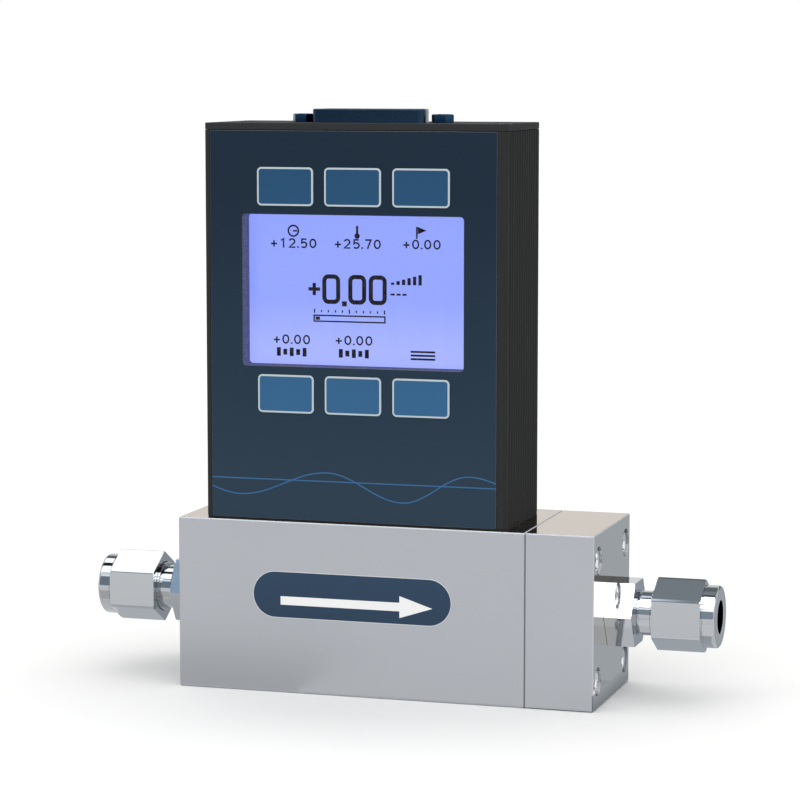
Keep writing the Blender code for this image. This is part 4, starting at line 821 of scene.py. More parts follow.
def build_label():
    """Stadium label on the block's front: a thin pad whose rim shows bare, with a printed arrow."""
    s = user_values("block")
    origin = (s.label_x, corners("flow_body")[0][1], s.label_z)
    radius = s.label_height / 2
    outline = filleted(rectangle(s.label_width, s.label_height), radius - 0.01 * MM, 24)
    field = np.stack([inset(outline, s.label_rim), inset(outline, 2 * s.label_rim)])
    rows = np.concatenate([pad(outline, -0.01 * MM, s.label_rise, 0.05 * MM),
                           raised(field, [s.label_rise] * 2)])
    ground = printed_polyester("printed label film", s.label_colour, scaled_colour(s.label_colour, 1.12),
                               *LABEL_FADE)
    label = piece("flow_label", stack(put(rows, origin, FACING_FRONT)), ground, "front_film")
    reach = s.label_width / 2 - radius

    def on_rim(centres):
        """Faces of the rim: their distance to the label's middle line is over its radius less the rim."""
        flat = centres[:, [0, 2]] - np.array([s.label_x, s.label_z])
        flat[:, 0] = np.sign(flat[:, 0]) * np.maximum(np.abs(flat[:, 0]) - reach, 0.0)
        return np.linalg.norm(flat, axis=1) > radius - s.label_rim * 0.9

    paint_faces(label, screen_print("bare label edge", linear("#d9dbdd")), on_rim)
    shaft, head = s.arrow_shaft / 2, s.arrow_head / 2
    outline = np.array([
        (s.arrow_start, -shaft), (s.arrow_neck, -shaft), (s.arrow_neck, -head), (s.arrow_tip, 0.0),
        (s.arrow_neck, head), (s.arrow_neck, shaft), (s.arrow_start, shaft),
    ]) - np.array([0.0, s.arrow_drop])
    rows = raised(outline, [s.label_rise, s.label_rise + 0.03 * MM])
    piece("flow_arrow", stack(put(rows, origin, FACING_FRONT)),
          screen_print("white screen print", s.print_colour), "front_film")


def build_block():
    """Steel of the two blocks, and the label."""
    dress(ground_stainless(), "flow_body", "end_block")
    build_label()


# Fittings


def fitting_profile(s):
    """Radius and height points round the section of a fitting body, from the port to the mouth."""
    blank = s.body_flats / math.sqrt(3.0)
    port, neck, thread, groove = s.port_thread / 2, s.neck / 2, s.nut_thread / 2, s.neck_groove
    nut_start = s.body_hex + s.neck_length
    end = nut_start + s.nut_thread_length
    bore = s.passage / 2
    collar, band = s.body_hex + s.collar, nut_start - s.band
    seated, slope = 0.05 * MM, 0.1 * MM
    return [
        (bore, -s.port_length),
        (port - s.chamfer, -s.port_length),
        (port, s.chamfer - s.port_length),
        (port, seated),
        (blank, seated),
        (blank, s.body_hex - s.body_corner),
        (blank - s.body_corner, s.body_hex),
        (neck, s.body_hex),
        (neck, collar),
        (neck - groove, collar + slope),
        (neck - groove, collar + 0.5 * MM),
        (neck, collar + 0.65 * MM),
        (neck, band - 0.12 * MM),
        (thread - slope, band - slope),
        (thread, band),
        (thread, end - s.chamfer),
        (thread - s.chamfer, end),
        (s.mouth / 2, end),
        (s.socket / 2, end - s.mouth_depth),
        (s.socket / 2, end - s.socket_depth),
        (bore, end - s.socket_depth),
    ]


def nut_profile(s):
    """Radius and height points round the section of a compression nut."""
    blank = s.nut_flats / math.sqrt(3.0) - s.long_edge
    shoulder, bore = s.shoulder / 2, s.nut_bore / 2
    thread = s.nut_thread / 2 + s.thread_gap
    start = s.body_hex + s.neck_length
    hexagon_end = start + s.nut_hex
    end = start + s.nut_length
    seat = start + s.nut_thread_length + s.seat_start
    neck_in, neck_end = shoulder - 0.12 * MM, hexagon_end + 0.3 * MM
    rounding = arc((shoulder - s.shoulder_round, end - s.shoulder_round), s.shoulder_round, 0.0,
                   math.pi / 2, 10)
    return np.concatenate([
        [(thread, start), (blank - s.edge, start), (blank, start + s.edge)],
        [(blank, hexagon_end - s.corner), (blank - s.corner, hexagon_end)],
        [(neck_in, hexagon_end), (neck_in, neck_end), (shoulder, neck_end + 0.1 * MM)],
        rounding,
        [(bore + s.edge, end), (bore, end - s.edge), (bore, seat + s.seat_length), (s.seat / 2, seat)],
        [(thread, seat)],
    ])


def build_fittings():
    """The same fitting body and nut at each end, looking outwards."""
    s = user_values("fittings")
    axis = middle_of("inlet_nut")[2]
    steel = turned_stainless("turned polished stainless steel", s.steel, 0.06)
    body = turned(fine(fitting_profile(s)), ROUND_STEPS, s.body_flats, 0.0)
    nut = turned(fine(nut_profile(s)), ROUND_STEPS, s.nut_flats, math.pi / 2)
    for end, x, axes in (("inlet", corners("flow_body")[0][0], FACING_INLET),
                         ("outlet", corners("end_block")[1][0], FACING_OUTLET)):
        for name, rows, node in (("fitting_body", body, "fitting"), ("tube_nut", nut, "nut")):
            piece(f"{end}_{name}", sleeve(put(rows, (x, 0.0, axis), axes)), steel, "fitting_steel",
                  f"{end}_{node}")
    dress(turned_stainless("turned ferrule steel", scaled_colour(s.steel, 0.9), 0.2),
          "inlet_front_ferrule", "inlet_back_ferrule", "outlet_front_ferrule", "outlet_back_ferrule",
          "flow_element", "absolute_sensor")


# Screws


def screw(length_below, head, flats, depth, s, cone=0.0):
    """Screw with a hexagon socket: its point on the axis, its shank, the head's profile and the socket,
    which lies at the foot of a coned mouth if it has one. Heights count from the head's top."""
    shank = s.shank / 2
    profile = [(0.02 * MM, -length_below), (shank - s.point, -length_below), (shank, s.point - length_below)]
    rows = turned(np.array(profile + head), SCREW_STEPS)
    return stack(np.concatenate([rows, socket_rows(-cone, flats, depth, SCREW_STEPS)]))


def build_screws():
    """Four cap screws in the end block, and the two long countersunk ones through the cover plate."""
    s = user_values("screws")
    steel = turned_stainless("bright screw steel", s.steel, 0.08)
    radius, edge = s.cap_head / 2, s.edge
    rim = arc((radius - edge, -edge), edge, 0.0, math.pi / 2, 6).tolist()
    cap_head = [(s.shank / 2, -s.cap_height), (radius, -s.cap_height)] + rim + [(s.cap_cone / 2, 0.0)]
    for i in range(1, 5):
        node = f"end_screw_{i}"
        low, high = corners(node)
        top = high[0] - s.cap_recess
        made = screw(top - low[0], cap_head, s.cap_flats, s.cap_depth, s, s.cap_cone_depth)
        place = (top, *middle_of(node)[1:])
        piece(f"cap_screw_{i}", placed(made, place, FACING_OUTLET), steel, "screw_steel", node)
    radius = s.tie_head / 2
    tie_head = [(s.shank / 2, -s.tie_height - 0.15 * MM), (radius, -0.1 * MM), (radius - 0.1 * MM, 0.0)]
    for i in range(1, 3):
        node = f"tie_screw_{i}"
        made = screw(size_of(node)[2], tie_head, s.tie_flats, s.tie_depth, s)
        place = (*middle_of(node)[:2], corners(node)[1][2])
        piece(f"long_screw_{i}", placed(made, place, FACING_UP), steel, "screw_steel", node)


# Housing


def housing_loops(s, low, high):
    """Outer and inner outline of the extrusion with as many points each. A ribbed side lies back by the
    groove's depth times the squared cosine of the way across the nearest groove; the inner outline is
    the outer one held inside the walls."""
    half = (high - low)[:2] / 2 + np.array([s.side_skin, 0.0])
    film_low, film_high = film_corners()
    middle = (low[0] + high[0]) / 2
    channel_left = film_low[0] - s.channel_gap - middle
    channel_right = film_high[0] + s.channel_gap - middle
    y = np.linspace(-(half[1] - s.corner), half[1] - s.corner, s.groove_steps + 1)[1:-1]
    first = -s.groove_pitch * (s.grooves - 1) / 2
    nearest = np.clip(np.round((y - first) / s.groove_pitch), 0, s.grooves - 1) * s.groove_pitch + first
    across = np.clip((y - nearest) / s.groove_width, -0.5, 0.5)
    back = s.groove_depth * np.cos(math.pi * across) ** 2
    right = np.stack([half[0] - back, y], axis=1)
    left = np.stack([back - half[0], y], axis=1)[::-1]
    quarter = math.pi / 2
    x_in, y_in = half - s.corner
    floor = s.channel_depth - half[1]
    outer = np.concatenate([
        arc((-x_in, -y_in), s.corner, 2 * quarter, 3 * quarter, CORNER_STEPS),
        [(channel_left, -half[1]), (channel_left, floor), (channel_right, floor), (channel_right, -half[1])],
        arc((x_in, -y_in), s.corner, 3 * quarter, 4 * quarter, CORNER_STEPS),
        right,
        arc((x_in, y_in), s.corner, 0.0, quarter, CORNER_STEPS),
        arc((-x_in, y_in), s.corner, quarter, 2 * quarter, CORNER_STEPS),
        left,
    ])
    inner = np.stack([
        np.clip(outer[:, 0], s.wall - half[0], half[0] - s.wall),
        np.clip(outer[:, 1], floor + s.wall, half[1] - s.wall),
    ], axis=1)
    return outer, inner


def film_corners():
    """Low and high corner of the front film as it is cut: a little wider to the left and higher than the
    part's own, narrower at the right."""
    low, high = corners("front_film")
    s = user_values("film")
    return low - np.array([s.left_skin, 0.0, s.foot_skin]), high + np.array([-s.right_cut, 0.0, s.top_skin])


def window_loop(s, grow=0.0):
    """Outline of the display's window, widened by an amount."""
    return filleted(rectangle(s.window_width + 2 * grow, s.window_height + 2 * grow), s.window_corner)


def window_centre():
    """Middle of the display's window along X and Z."""
    x, _, z = middle_of("display_lens")
    return x - user_values("film").window_shift, z


def build_tube(s):
    """Ribbed tube with sawn ends and the window through its front wall."""
    low, high = corners("housing")
    outer, inner = housing_loops(s, low, high)
    sawn = inset(outer, s.edge)
    loops = np.stack([sawn, outer, outer, sawn, inner, inner])
    heights = [low[2], low[2] + s.edge, high[2] - s.edge, high[2], high[2], low[2]]
    rows = put(raised(loops, heights), (*middle_of("housing")[:2], 0.0), FACING_UP)
    tube = piece("ribbed_housing", sleeve(rows), anodised_extrusion(), "housing_black", "housing")
    x, z = window_centre()
    hole = raised(window_loop(user_values("film"), s.window_step), [-s.wall * 2, s.wall * 2])
    cut(tube, stack(put(hole, (x, low[1] + s.channel_depth, z), FACING_FRONT)))


def build_plate(s):
    """Cover plate, its edge broken above and below, cut for the connector, its jack posts and the long
    screws."""
    low, high = corners("top_plate")
    middle, (width, depth, thickness) = (low + high) / 2, high - low
    outline = filleted(rectangle(width + 2 * s.side_skin, depth), s.corner)
    upper = pad(outline, thickness / 2, thickness, s.plate_edge)
    lower = upper[::-1] * (1.0, 1.0, -1.0) + (0.0, 0.0, thickness)
    solid = stack(put(np.concatenate([lower, upper[1:]]), (middle[0], middle[1], low[2]), FACING_UP))
    plate = piece("cover_plate", solid, anodised_plate(), "plate_black", "top_plate")
    c = user_values("connector")
    mouth = inset(filleted(connector_corners(c), c.corner), -s.cutout_gap)
    cut(plate, stack(put(raised(mouth, [low[2] - PAST, high[2] + PAST]), (*middle[:2], 0.0), FACING_UP)))
    drill_for_jacks(plate, middle, s.jack_hole / 2, low[2], high[2])
    sink = 1.35 * MM
    cone = [
        (s.screw_hole / 2, low[2] - PAST),
        (s.screw_hole / 2, high[2] - sink),
        (s.countersink / 2, high[2] - 0.05 * MM),
        (s.countersink / 2, high[2] + PAST),
    ]
    for i in range(1, 3):
        drill(plate, middle_of(f"tie_screw_{i}"), cone)


def build_gasket(s):
    """Rubber pad between the housing and the flow block."""
    rubber = plain_surface("nitrile gasket rubber", linear("#141415"), 0.7, depth=0.01, gloss=0.2)
    base = corners("flow_body")[1][2]
    width, depth, _ = size_of("housing")
    outline = filleted(rectangle(width + 2 * s.side_skin - s.gasket_step, depth - s.gasket_step), s.corner)
    rows = pad(outline, base, corners("housing")[0][2], 0.03 * MM)
    piece("flush_gasket", stack(put(rows, (*middle_of("housing")[:2], 0.0), FACING_UP)), rubber,
          "seal_rubber", "housing_gasket")
    dress(rubber, "end_block_seal", "tap_seal_1", "tap_seal_2", "tap_seal_3")


def build_housing():
    """The grooved tube, the plate on top of it and the gasket under it."""
    s = user_values("housing")
    build_tube(s)
    build_plate(s)
    build_gasket(s)


# Front film and keys


def build_film():
    """Front film with its window, its wave ornament and its base line."""
    s = user_values("film")
    low, high = film_corners()
    middle, (width, thickness, height) = (low + high) / 2, high - low
    outline = filleted(rectangle(width, height, (middle[0], middle[2])), s.corner)
    window = window_loop(s) + np.array(window_centre())
    front = pad(outline, 0.0, thickness, s.edge)
    opening = pad(window[::-1], 0.0, thickness, s.edge)[:, ::-1]
    rows = put(np.concatenate([front, opening[::-1]]), (0.0, high[1], 0.0), FACING_FRONT)
    # The ground darkens from the foot colour to the top colour: painted shade.
    ground = printed_polyester("printed polyester film", s.low_colour, s.top_colour, low[2] + 5 * MM,
                               high[2] - 15 * MM)
    sheet = piece("front_panel", sleeve(rows), ground, "front_film", "front_film")
    # The edge faces get the paler colour: the cut edge's own colour with a painted highlight.
    cut_edge_with_highlight = plain_surface("cut polyester edge with painted highlight", s.film_edge_and_highlight_colour, 0.3, size=0.5, depth=0.002)
    paint_faces(sheet, cut_edge_with_highlight, lambda centres: centres[:, 1] > low[1] + s.edge * 0.04)
    build_lines(s, low, high)


def build_lines(s, low, high):
    """Two printed lines across the film: a level one, and a wave that eases from one turning point to the
    next by half of one minus the cosine of the way between them."""
    ink = screen_print("blue screen print", s.line_colour)
    at = np.linspace(low[0] + 0.1 * MM, high[0] - 0.1 * MM, 320)
    way = np.interp(at, WAVE_X, np.arange(len(WAVE_X)))
    eased = np.floor(way) + (1 - np.cos(math.pi * (way - np.floor(way)))) / 2
    wave = np.stack([at, np.interp(eased, np.arange(len(WAVE_Z)), WAVE_Z)], axis=1)
    base = np.stack([at, np.full_like(at, s.line_height)], axis=1)
    for name, path, rise in (("base_line", base, s.line_rise), ("wave_line", wave, 1.4 * s.line_rise)):
        rows = strip(path, s.line_width, rise)
        piece(name, stack(put(rows, (0.0, low[1], 0.0), FACING_FRONT)), ink, "front_film")


def build_keys():
    """Six keys: a low pad with a pale printed border and a slightly domed field."""
    s = user_values("film")
    border = screen_print("pale screen print", s.key_print)
    upper, lower = s.key_top_colour, s.key_low_colour
    grounds = [
        printed_polyester("upper key print", upper, scaled_colour(upper, 1.1), *UPPER_KEY_FADE),
        printed_polyester("lower key print", lower, scaled_colour(lower, 1.05), *LOWER_KEY_FADE),
    ]
    for i in range(1, 7):
        node = f"key_{i}"
        middle, (width, rise, height) = middle_of(node), size_of(node)
        outline = filleted(rectangle(width, height), s.key_corner)
        rim = inset(outline, s.key_border + s.key_edge)
        grow = np.linspace(1.0, 0.05, 9)
        field = raised(rim * grow[:, None, None], rise + s.key_dome * (1 - grow ** 2))
        rows = np.concatenate([pad(outline, 0.0, rise, s.key_edge), field])
        origin = (middle[0], corners(node)[1][1], middle[2])
        key = piece(f"membrane_key_{i}", stack(put(rows, origin, FACING_FRONT)), grounds[i > 3], "key_film",
                    node)

        def on_border(centres, rim=rim, middle=middle):
            """Faces outside the key's inner rectangle or outside the arcs of its corners."""
            inner = np.abs(centres[:, [0, 2]] - middle[[0, 2]]) - np.abs(rim).max(axis=0)
            round_off = s.key_corner - s.key_border - s.key_edge
            corner = np.linalg.norm(np.maximum(inner + round_off, 0.0), axis=1) > 1.02 * round_off
            return (inner.max(axis=1) > 0.0) | corner

        paint_faces(key, border, on_border)


# Display


def flat_marks(outlines, rise):
    """Thin solids on several outlines in the display's plane, which are given in millimetres."""
    return joined([stack(raised(np.asarray(outline) * MM, [0.0, rise])) for outline in outlines])


def ring_mark(outer, inner, rise):
    """Thin ring between two outlines with as many points each."""
    return sleeve(raised(np.stack([outer, outer, inner, inner]), [0.0, rise, rise, 0.0]))


def bow(x, y, wide, tall, start, stop):
    """Points along part of an ellipse, between two angles in degrees."""
    turn = np.radians(np.linspace(start, stop, 24))
    return np.stack([x + wide * np.cos(turn), y + tall * np.sin(turn)], axis=1)


def figure_paths():
    """Middle lines of the small figures, one unit high."""
    return {
        "+": [np.array([(-0.34, 0.42), (0.34, 0.42)]), np.array([(0.0, 0.08), (0.0, 0.76)])],
        ".": [np.array([(-0.09, 0.09), (0.09, 0.09)])],
        "1": [np.array([(-0.22, 0.75), (0.06, 0.93), (0.06, 0.0)])],
        "2": [np.concatenate([bow(0.0, 0.68, 0.29, 0.25, 165, -35), [(-0.28, 0.07), (0.35, 0.07)]])],
        "5": [np.concatenate([[(0.28, 0.93), (-0.21, 0.93), (-0.24, 0.52)],
                              bow(0.0, 0.34, 0.31, 0.27, 130, -140)])],
        "7": [np.array([(-0.31, 0.93), (0.3, 0.93), (-0.07, 0.0)])],
    }


def figures(text, height, centre, rise):
    """Small figures as strokes of an even width, spaced evenly and centred on a point."""
    paths, stroke = figure_paths(), 0.17
    advance = np.array([0.3 if sign == "." else 1.0 for sign in text])
    places = np.cumsum(advance) - advance / 2 - advance.sum() / 2
    solids = []
    for sign, place in zip(text, places):
        move = np.array([place, -0.5]) * height + np.array(centre)
        if sign == "0":
            outer, inner = (bow(0.0, 0.5, 0.39 - back, 0.5 - back, 0, 360)[:-1] * height + move
                            for back in (0.0, stroke))
            solids.append(ring_mark(outer, inner, rise))
            continue
        solids += [stack(strip(path * height + move, stroke * height, rise * UNDERLAY ** i))
                   for i, path in enumerate(paths[sign])]
    return joined(solids)


def zero_figure(left, right, low, high, stroke, rise):
    """Large nought: a ring between two rounded rectangles."""
    centre = ((left + right) / 2, (low + high) / 2)
    outer = filleted(rectangle(right - left, high - low, centre), 1.5 * stroke)
    inner = filleted(rectangle(right - left - 2 * stroke, high - low - 2 * stroke, centre), 0.5 * stroke)
    return ring_mark(outer, inner, rise)


def painted_glow_foam(s):
    """Foam round the display with painted light: it glows blue in fine grains, standing in for the display's
    light that falls on it.
    """
    made, tree, shader = surface_of("sealing foam with painted glow", (0.02, 0.02, 0.03), 0.8, gloss=0.1)
    tinted(tree, shader.inputs["Emission Color"], grain(tree, 0.22, 1.0), s.glow_dark, s.glow_pale,
           0.35, 0.65)
    shader.inputs["Emission Strength"].default_value = 1.0
    return made


def build_bezel(s):
    """Foam lining of the wall's window, and the bezel between lens and lit face, both with the foam's painted
    glow.
    """
    x, z = window_centre()
    foam = painted_glow_foam(s)
    film = user_values("film")
    lens_low, lens_high = corners("display_lens")
    gap = 0.05 * MM
    rings = (
        ("window_foam", corners("front_film")[1][1] + gap, lens_low[1] - gap,
         user_values("housing").window_step - 0.02 * MM, -0.02 * MM),
        ("display_bezel", lens_high[1] + gap, corners("display_panel")[0][1] - gap, 0.8 * MM, -s.bezel),
    )
    for name, near, far, outside, inside in rings:
        outer, inner = window_loop(film, outside), window_loop(film, inside)
        rows = raised(np.stack([outer, outer, inner, inner]), [0.0, far - near, far - near, 0.0])
        piece(name, sleeve(put(rows, (x, far, z), FACING_FRONT)), foam, "display_frame")


def large_reading(s, rise):
    """Three large noughts, the decimal point between the first two and the plus sign before them."""
    foot, head = READING_FOOT * MM, READING_HEAD * MM
    noughts = [zero_figure(left * MM, right * MM, foot, head, s.stroke, rise)
               for left, right in READING_SIDES]
    point, across, upright = (rectangle(1.1, 1.1, POINT_MARK), rectangle(2.7, 0.75, SIGN_MARK),
                              rectangle(0.75, 2.7, SIGN_MARK))
    return joined(noughts + [flat_marks([point, across], rise), flat_marks([upright], rise * UNDERLAY)])


def build_display():
    """Lit face, dark figures and marks, clear lens and the frame round the display."""
    s = user_values("display")
    rise = s.ink_rise
    origin = (0.0, corners("display_panel")[0][1], 0.0)
    ink = plain_surface("dark liquid crystal", s.ink, 0.5, size=6.0, depth=0.001, gloss=0.1)
    small = joined([figures(text, VALUE_HEIGHT * MM, (x * MM, z * MM), rise) for text, x, z in VALUES])
    for name, solid in (("display_reading", large_reading(s, rise)), ("display_values", small),
                        ("display_marks", joined(display_marks(s, rise)))):
        piece(name, placed(solid, origin, FACING_FRONT), ink, "display_frame")
    build_bezel(s)
    dress(lit_glass(), "display_panel")
    dress(clear_polycarbonate(), "display_lens")
    dress(plain_surface("black zinc plated steel", linear("#2a2b33"), 0.45, metallic=0.6),
          "display_frame")
    dress(plain_surface("white acrylic light guide", linear("#e4e6e8"), 0.3, size=1.5, depth=0.002),
          "display_backlight")


def disc(radius, centre, steps=32):
    """Outline of a disc: centre + radius (cos a, sin a) for a once round, its doubled last point left off."""
    return arc(centre, radius, 0.0, 2 * math.pi, steps)[:-1]


def display_marks(s, rise):
    """Plain symbols, in millimetres: a dial with its hand, a thermometer, a flag, rising steps, dashes, a
    level bar with its ticks, two small scales and a menu sign."""
    def ring(outer, inner):
        """A flat ring from its two radii in millimetres."""
        return ring_mark(outer * MM, inner * MM, rise)

    def upwards(place, up):
        """A place moved up: (x, z + up)."""
        return place[0], place[1] + up

    width, height = s.bar_width / MM, s.bar_height / MM
    bar_x, bar_z = LEVEL_BAR
    filled = rectangle(width * 0.06, height - 0.9, (bar_x - width * 0.44, bar_z))
    steps = [rectangle(0.75, 0.5 + 0.35 * i, (FIRST_STEP[0] + 1.25 * i, FIRST_STEP[1] + 0.25 + 0.175 * i))
             for i in range(6)]
    dashes = [rectangle(0.95, 0.42, (FIRST_DASH[0] + 1.35 * i, FIRST_DASH[1])) for i in range(3)]
    ticks = [rectangle(0.3, 0.5 if i % 5 else 0.9, (bar_x + (i / 10 - 0.5) * (width - 0.5), TICKS_Z))
             for i in range(11)]
    scales = [[rectangle(0.9, 1.3 if i % 2 else 1.9, (x - 3.0 + 1.5 * i, SMALL_SCALES_Z)) for i in range(5)]
              for x in SMALL_SCALES_X]
    menu = [rectangle(5.6, 0.42, upwards(MENU, 0.8 * i)) for i in range(3)]
    return [
        ring(disc(1.35, DIAL), disc(0.98, DIAL)),
        flat_marks([rectangle(1.0, 0.36, (DIAL[0] + 0.4, DIAL[1]))], rise),
        flat_marks([disc(0.6, BULB)], rise),
        flat_marks([rectangle(0.5, 2.0, upwards(BULB, 1.2))], rise * UNDERLAY),
        flat_marks([rectangle(0.36, 2.6, POLE), PENNANT], rise),
        flat_marks(steps, rise),
        flat_marks(dashes, rise),
        ring(rectangle(width, height, LEVEL_BAR), rectangle(width - 0.64, height - 0.64, LEVEL_BAR)),
        flat_marks([filled], rise),
        flat_marks(ticks, rise),
        *(flat_marks(marks, rise) for marks in scales),
        flat_marks(menu, rise),
    ]


# Connector


def connector_corners(c):
    """Corners of the shell: a trapezium with its wide side to the front."""
    half = c.width / 2
    narrow = half - c.depth * math.tan(c.slant)
    return [(-half, -c.depth / 2), (half, -c.depth / 2), (narrow, c.depth / 2), (-narrow, c.depth / 2)]


def build_shell(c):
    """Shell of the connector: a flange, a small rounding where the trapezium rises from it, and a rim that
    rolls over in a half circle to the inside."""
    low, high = corners("connector_shell")
    middle = (low + high) / 2
    base, top, rim, roll = low[2], low[2] + c.flange, high[2], c.sheet / 2
    outer = filleted(connector_corners(c), c.corner)
    inner = inset(outer, c.sheet)
    mid = inset(outer, roll)
    flange = filleted(rectangle(c.flange_width, c.flange_depth), 1.0 * MM)
    turn = np.linspace(0.0, math.pi, 7)
    rolled = [mid + (outer - mid) * math.cos(t) for t in turn]
    foot = [inset(outer, -0.35 * MM), inset(outer, -0.1 * MM), outer]
    loops = np.stack([flange, flange, *foot, *rolled, inner])
    heights = [base, top, top, top + 0.1 * MM, top + 0.35 * MM]
    heights += [rim - roll + roll * math.sin(t) for t in turn] + [base]
    plating = plain_surface("blackened nickel plating", c.shell, 0.3, 0.8, size=0.25, depth=0.0008)
    rows = put(raised(loops, heights), (*middle[:2], 0.0), FACING_UP)
    shell = piece("connector_housing", sleeve(rows), plating, "connector_shell", "connector_shell")
    drill_for_jacks(shell, middle, c.jack_stem / 2 + 0.3 * MM, base, top)


def build_contacts(c):
    """Fifteen gold tubes in the insulator: eight in the front row and seven in the back row."""
    top = corners("connector_insulator")[1][2] - c.contact_top
    outer, inner, foot = c.contact_outer / 2, c.contact_inner / 2, top - c.contact_length
    tube = turned([
        (outer, foot), (outer, top - 0.15 * MM), (outer - 0.1 * MM, top),
        (inner + 0.05 * MM, top), (inner, top - 0.1 * MM), (inner, foot),
    ], 24)
    places = [((i - (count - 1) / 2) * c.contact_pitch, y, 0.0)
              for count, y in ((8, -c.row_pitch / 2), (7, c.row_pitch / 2)) for i in range(count)]
    origin = (*middle_of("connector_shell")[:2], 0.0)
    contacts = joined([sleeve(put(tube + np.array(place), origin, FACING_UP)) for place in places])
    gold = plain_surface("gold plated contacts", c.gold, 0.2, metallic=1.0, depth=0.001)
    piece("gold_contacts", contacts, gold, "connector_shell")
    dress(plain_surface("black moulded polyester", linear("#17181a"), 0.45, size=0.25),
          "connector_insulator")


def build_jack_posts(c):
    """Two hexagonal posts with a crowned head, a threaded bore and a stem."""
    dark = turned_stainless("blued jack post steel", c.jack, 0.25)
    wide = c.jack_flats / math.sqrt(3.0) + 0.1 * MM
    crown = c.jack_flats / 2 - 0.05 * MM
    slope = (wide - crown) * math.tan(math.radians(30.0))
    bore, stem = c.jack_bore / 2, c.jack_stem / 2
    for i in range(1, 3):
        low, high = corners(f"jack_post_{i}")
        foot, top = low[2], high[2]
        under, floor = top - 1.8 * MM, top - c.jack_bore_depth
        profile = [
            (0.05 * MM, foot), (stem - 0.2 * MM, foot), (stem, foot + 0.2 * MM), (stem, under),
            (wide, under), (wide, top - slope), (crown, top),
            (bore + 0.25 * MM, top), (bore, top - 0.25 * MM), (bore, floor), (0.05 * MM, floor),
        ]
        rows = turned(fine(profile, 0.1 * MM), SCREW_STEPS, c.jack_flats, 0.0)
        place = (*middle_of(f"jack_post_{i}")[:2], 0.0)
        piece(f"jack_screw_{i}", stack(put(rows, place, FACING_UP)), dark, "screw_steel", f"jack_post_{i}")


def build_connector():
    """The connector's shell, its contacts and its two jack posts."""
    c = user_values("connector")
    build_shell(c)
    build_contacts(c)
    build_jack_posts(c)


def build_electronics():
    """Finishes of the boards and sensors inside the housing."""
    dress(solder_mask(), "display_board", "main_board", "sensor_board", "connector_board")
    dress(plain_surface("moulded epoxy package", linear("#222325"), 0.5, size=0.2),
          "processor", "board_header")
    dress(plain_surface("ceramic filled sensor case", linear("#cbc7bc"), 0.45, size=0.2),
          "differential_sensor")


# Stage


def white_where_seen(tree, level, seen_level=1.0):
    """One level where a camera, glossy or transmission ray looks, and another for all other light."""
    path = add(tree, "ShaderNodeLightPath")
    seen = add(tree, "ShaderNodeMath",
               {0: path.outputs["Is Camera Ray"], 1: path.outputs["Is Glossy Ray"]}, operation="MAXIMUM")
    seen = add(tree, "ShaderNodeMath",
               {0: seen.outputs[0], 1: path.outputs["Is Transmission Ray"]}, operation="MAXIMUM")
    return add(tree, "ShaderNodeMapRange", {0: seen.outputs[0], 3: level, 4: seen_level}).outputs[0]


def flag(name, points, level, foot=None):
    """Studio flag that only shows in polished metal: a flat board of an even level, or one that darkens
    towards its foot on the floor."""
    mesh = bpy.data.meshes.new(name)
    mesh.from_pydata(points, [], [(0, 1, 2, 3)])
    surface = bpy.data.materials.new(name + " board")
    surface.use_nodes = True
    tree = surface.node_tree
    board = add(tree, "ShaderNodeEmission", {"Color": (*level, 1.0), "Strength": 1.0})
    if foot is not None:
        place = add(tree, "ShaderNodeTexCoord")
        height = add(tree, "ShaderNodeSeparateXYZ", {"Vector": place.outputs["Object"]})
        tinted(tree, board.inputs["Color"], height.outputs["Z"], foot, level, 0.0, FOOT_HEIGHT)
    tree.links.new(board.outputs[0], tree.nodes["Material Output"].inputs["Surface"])
    mesh.materials.append(surface)
    made = bpy.data.objects.new(name, mesh)
    for ray in ("camera", "diffuse", "shadow", "transmission"):
        setattr(made, "visible_" + ray, False)
    bpy.context.scene.collection.objects.link(made)


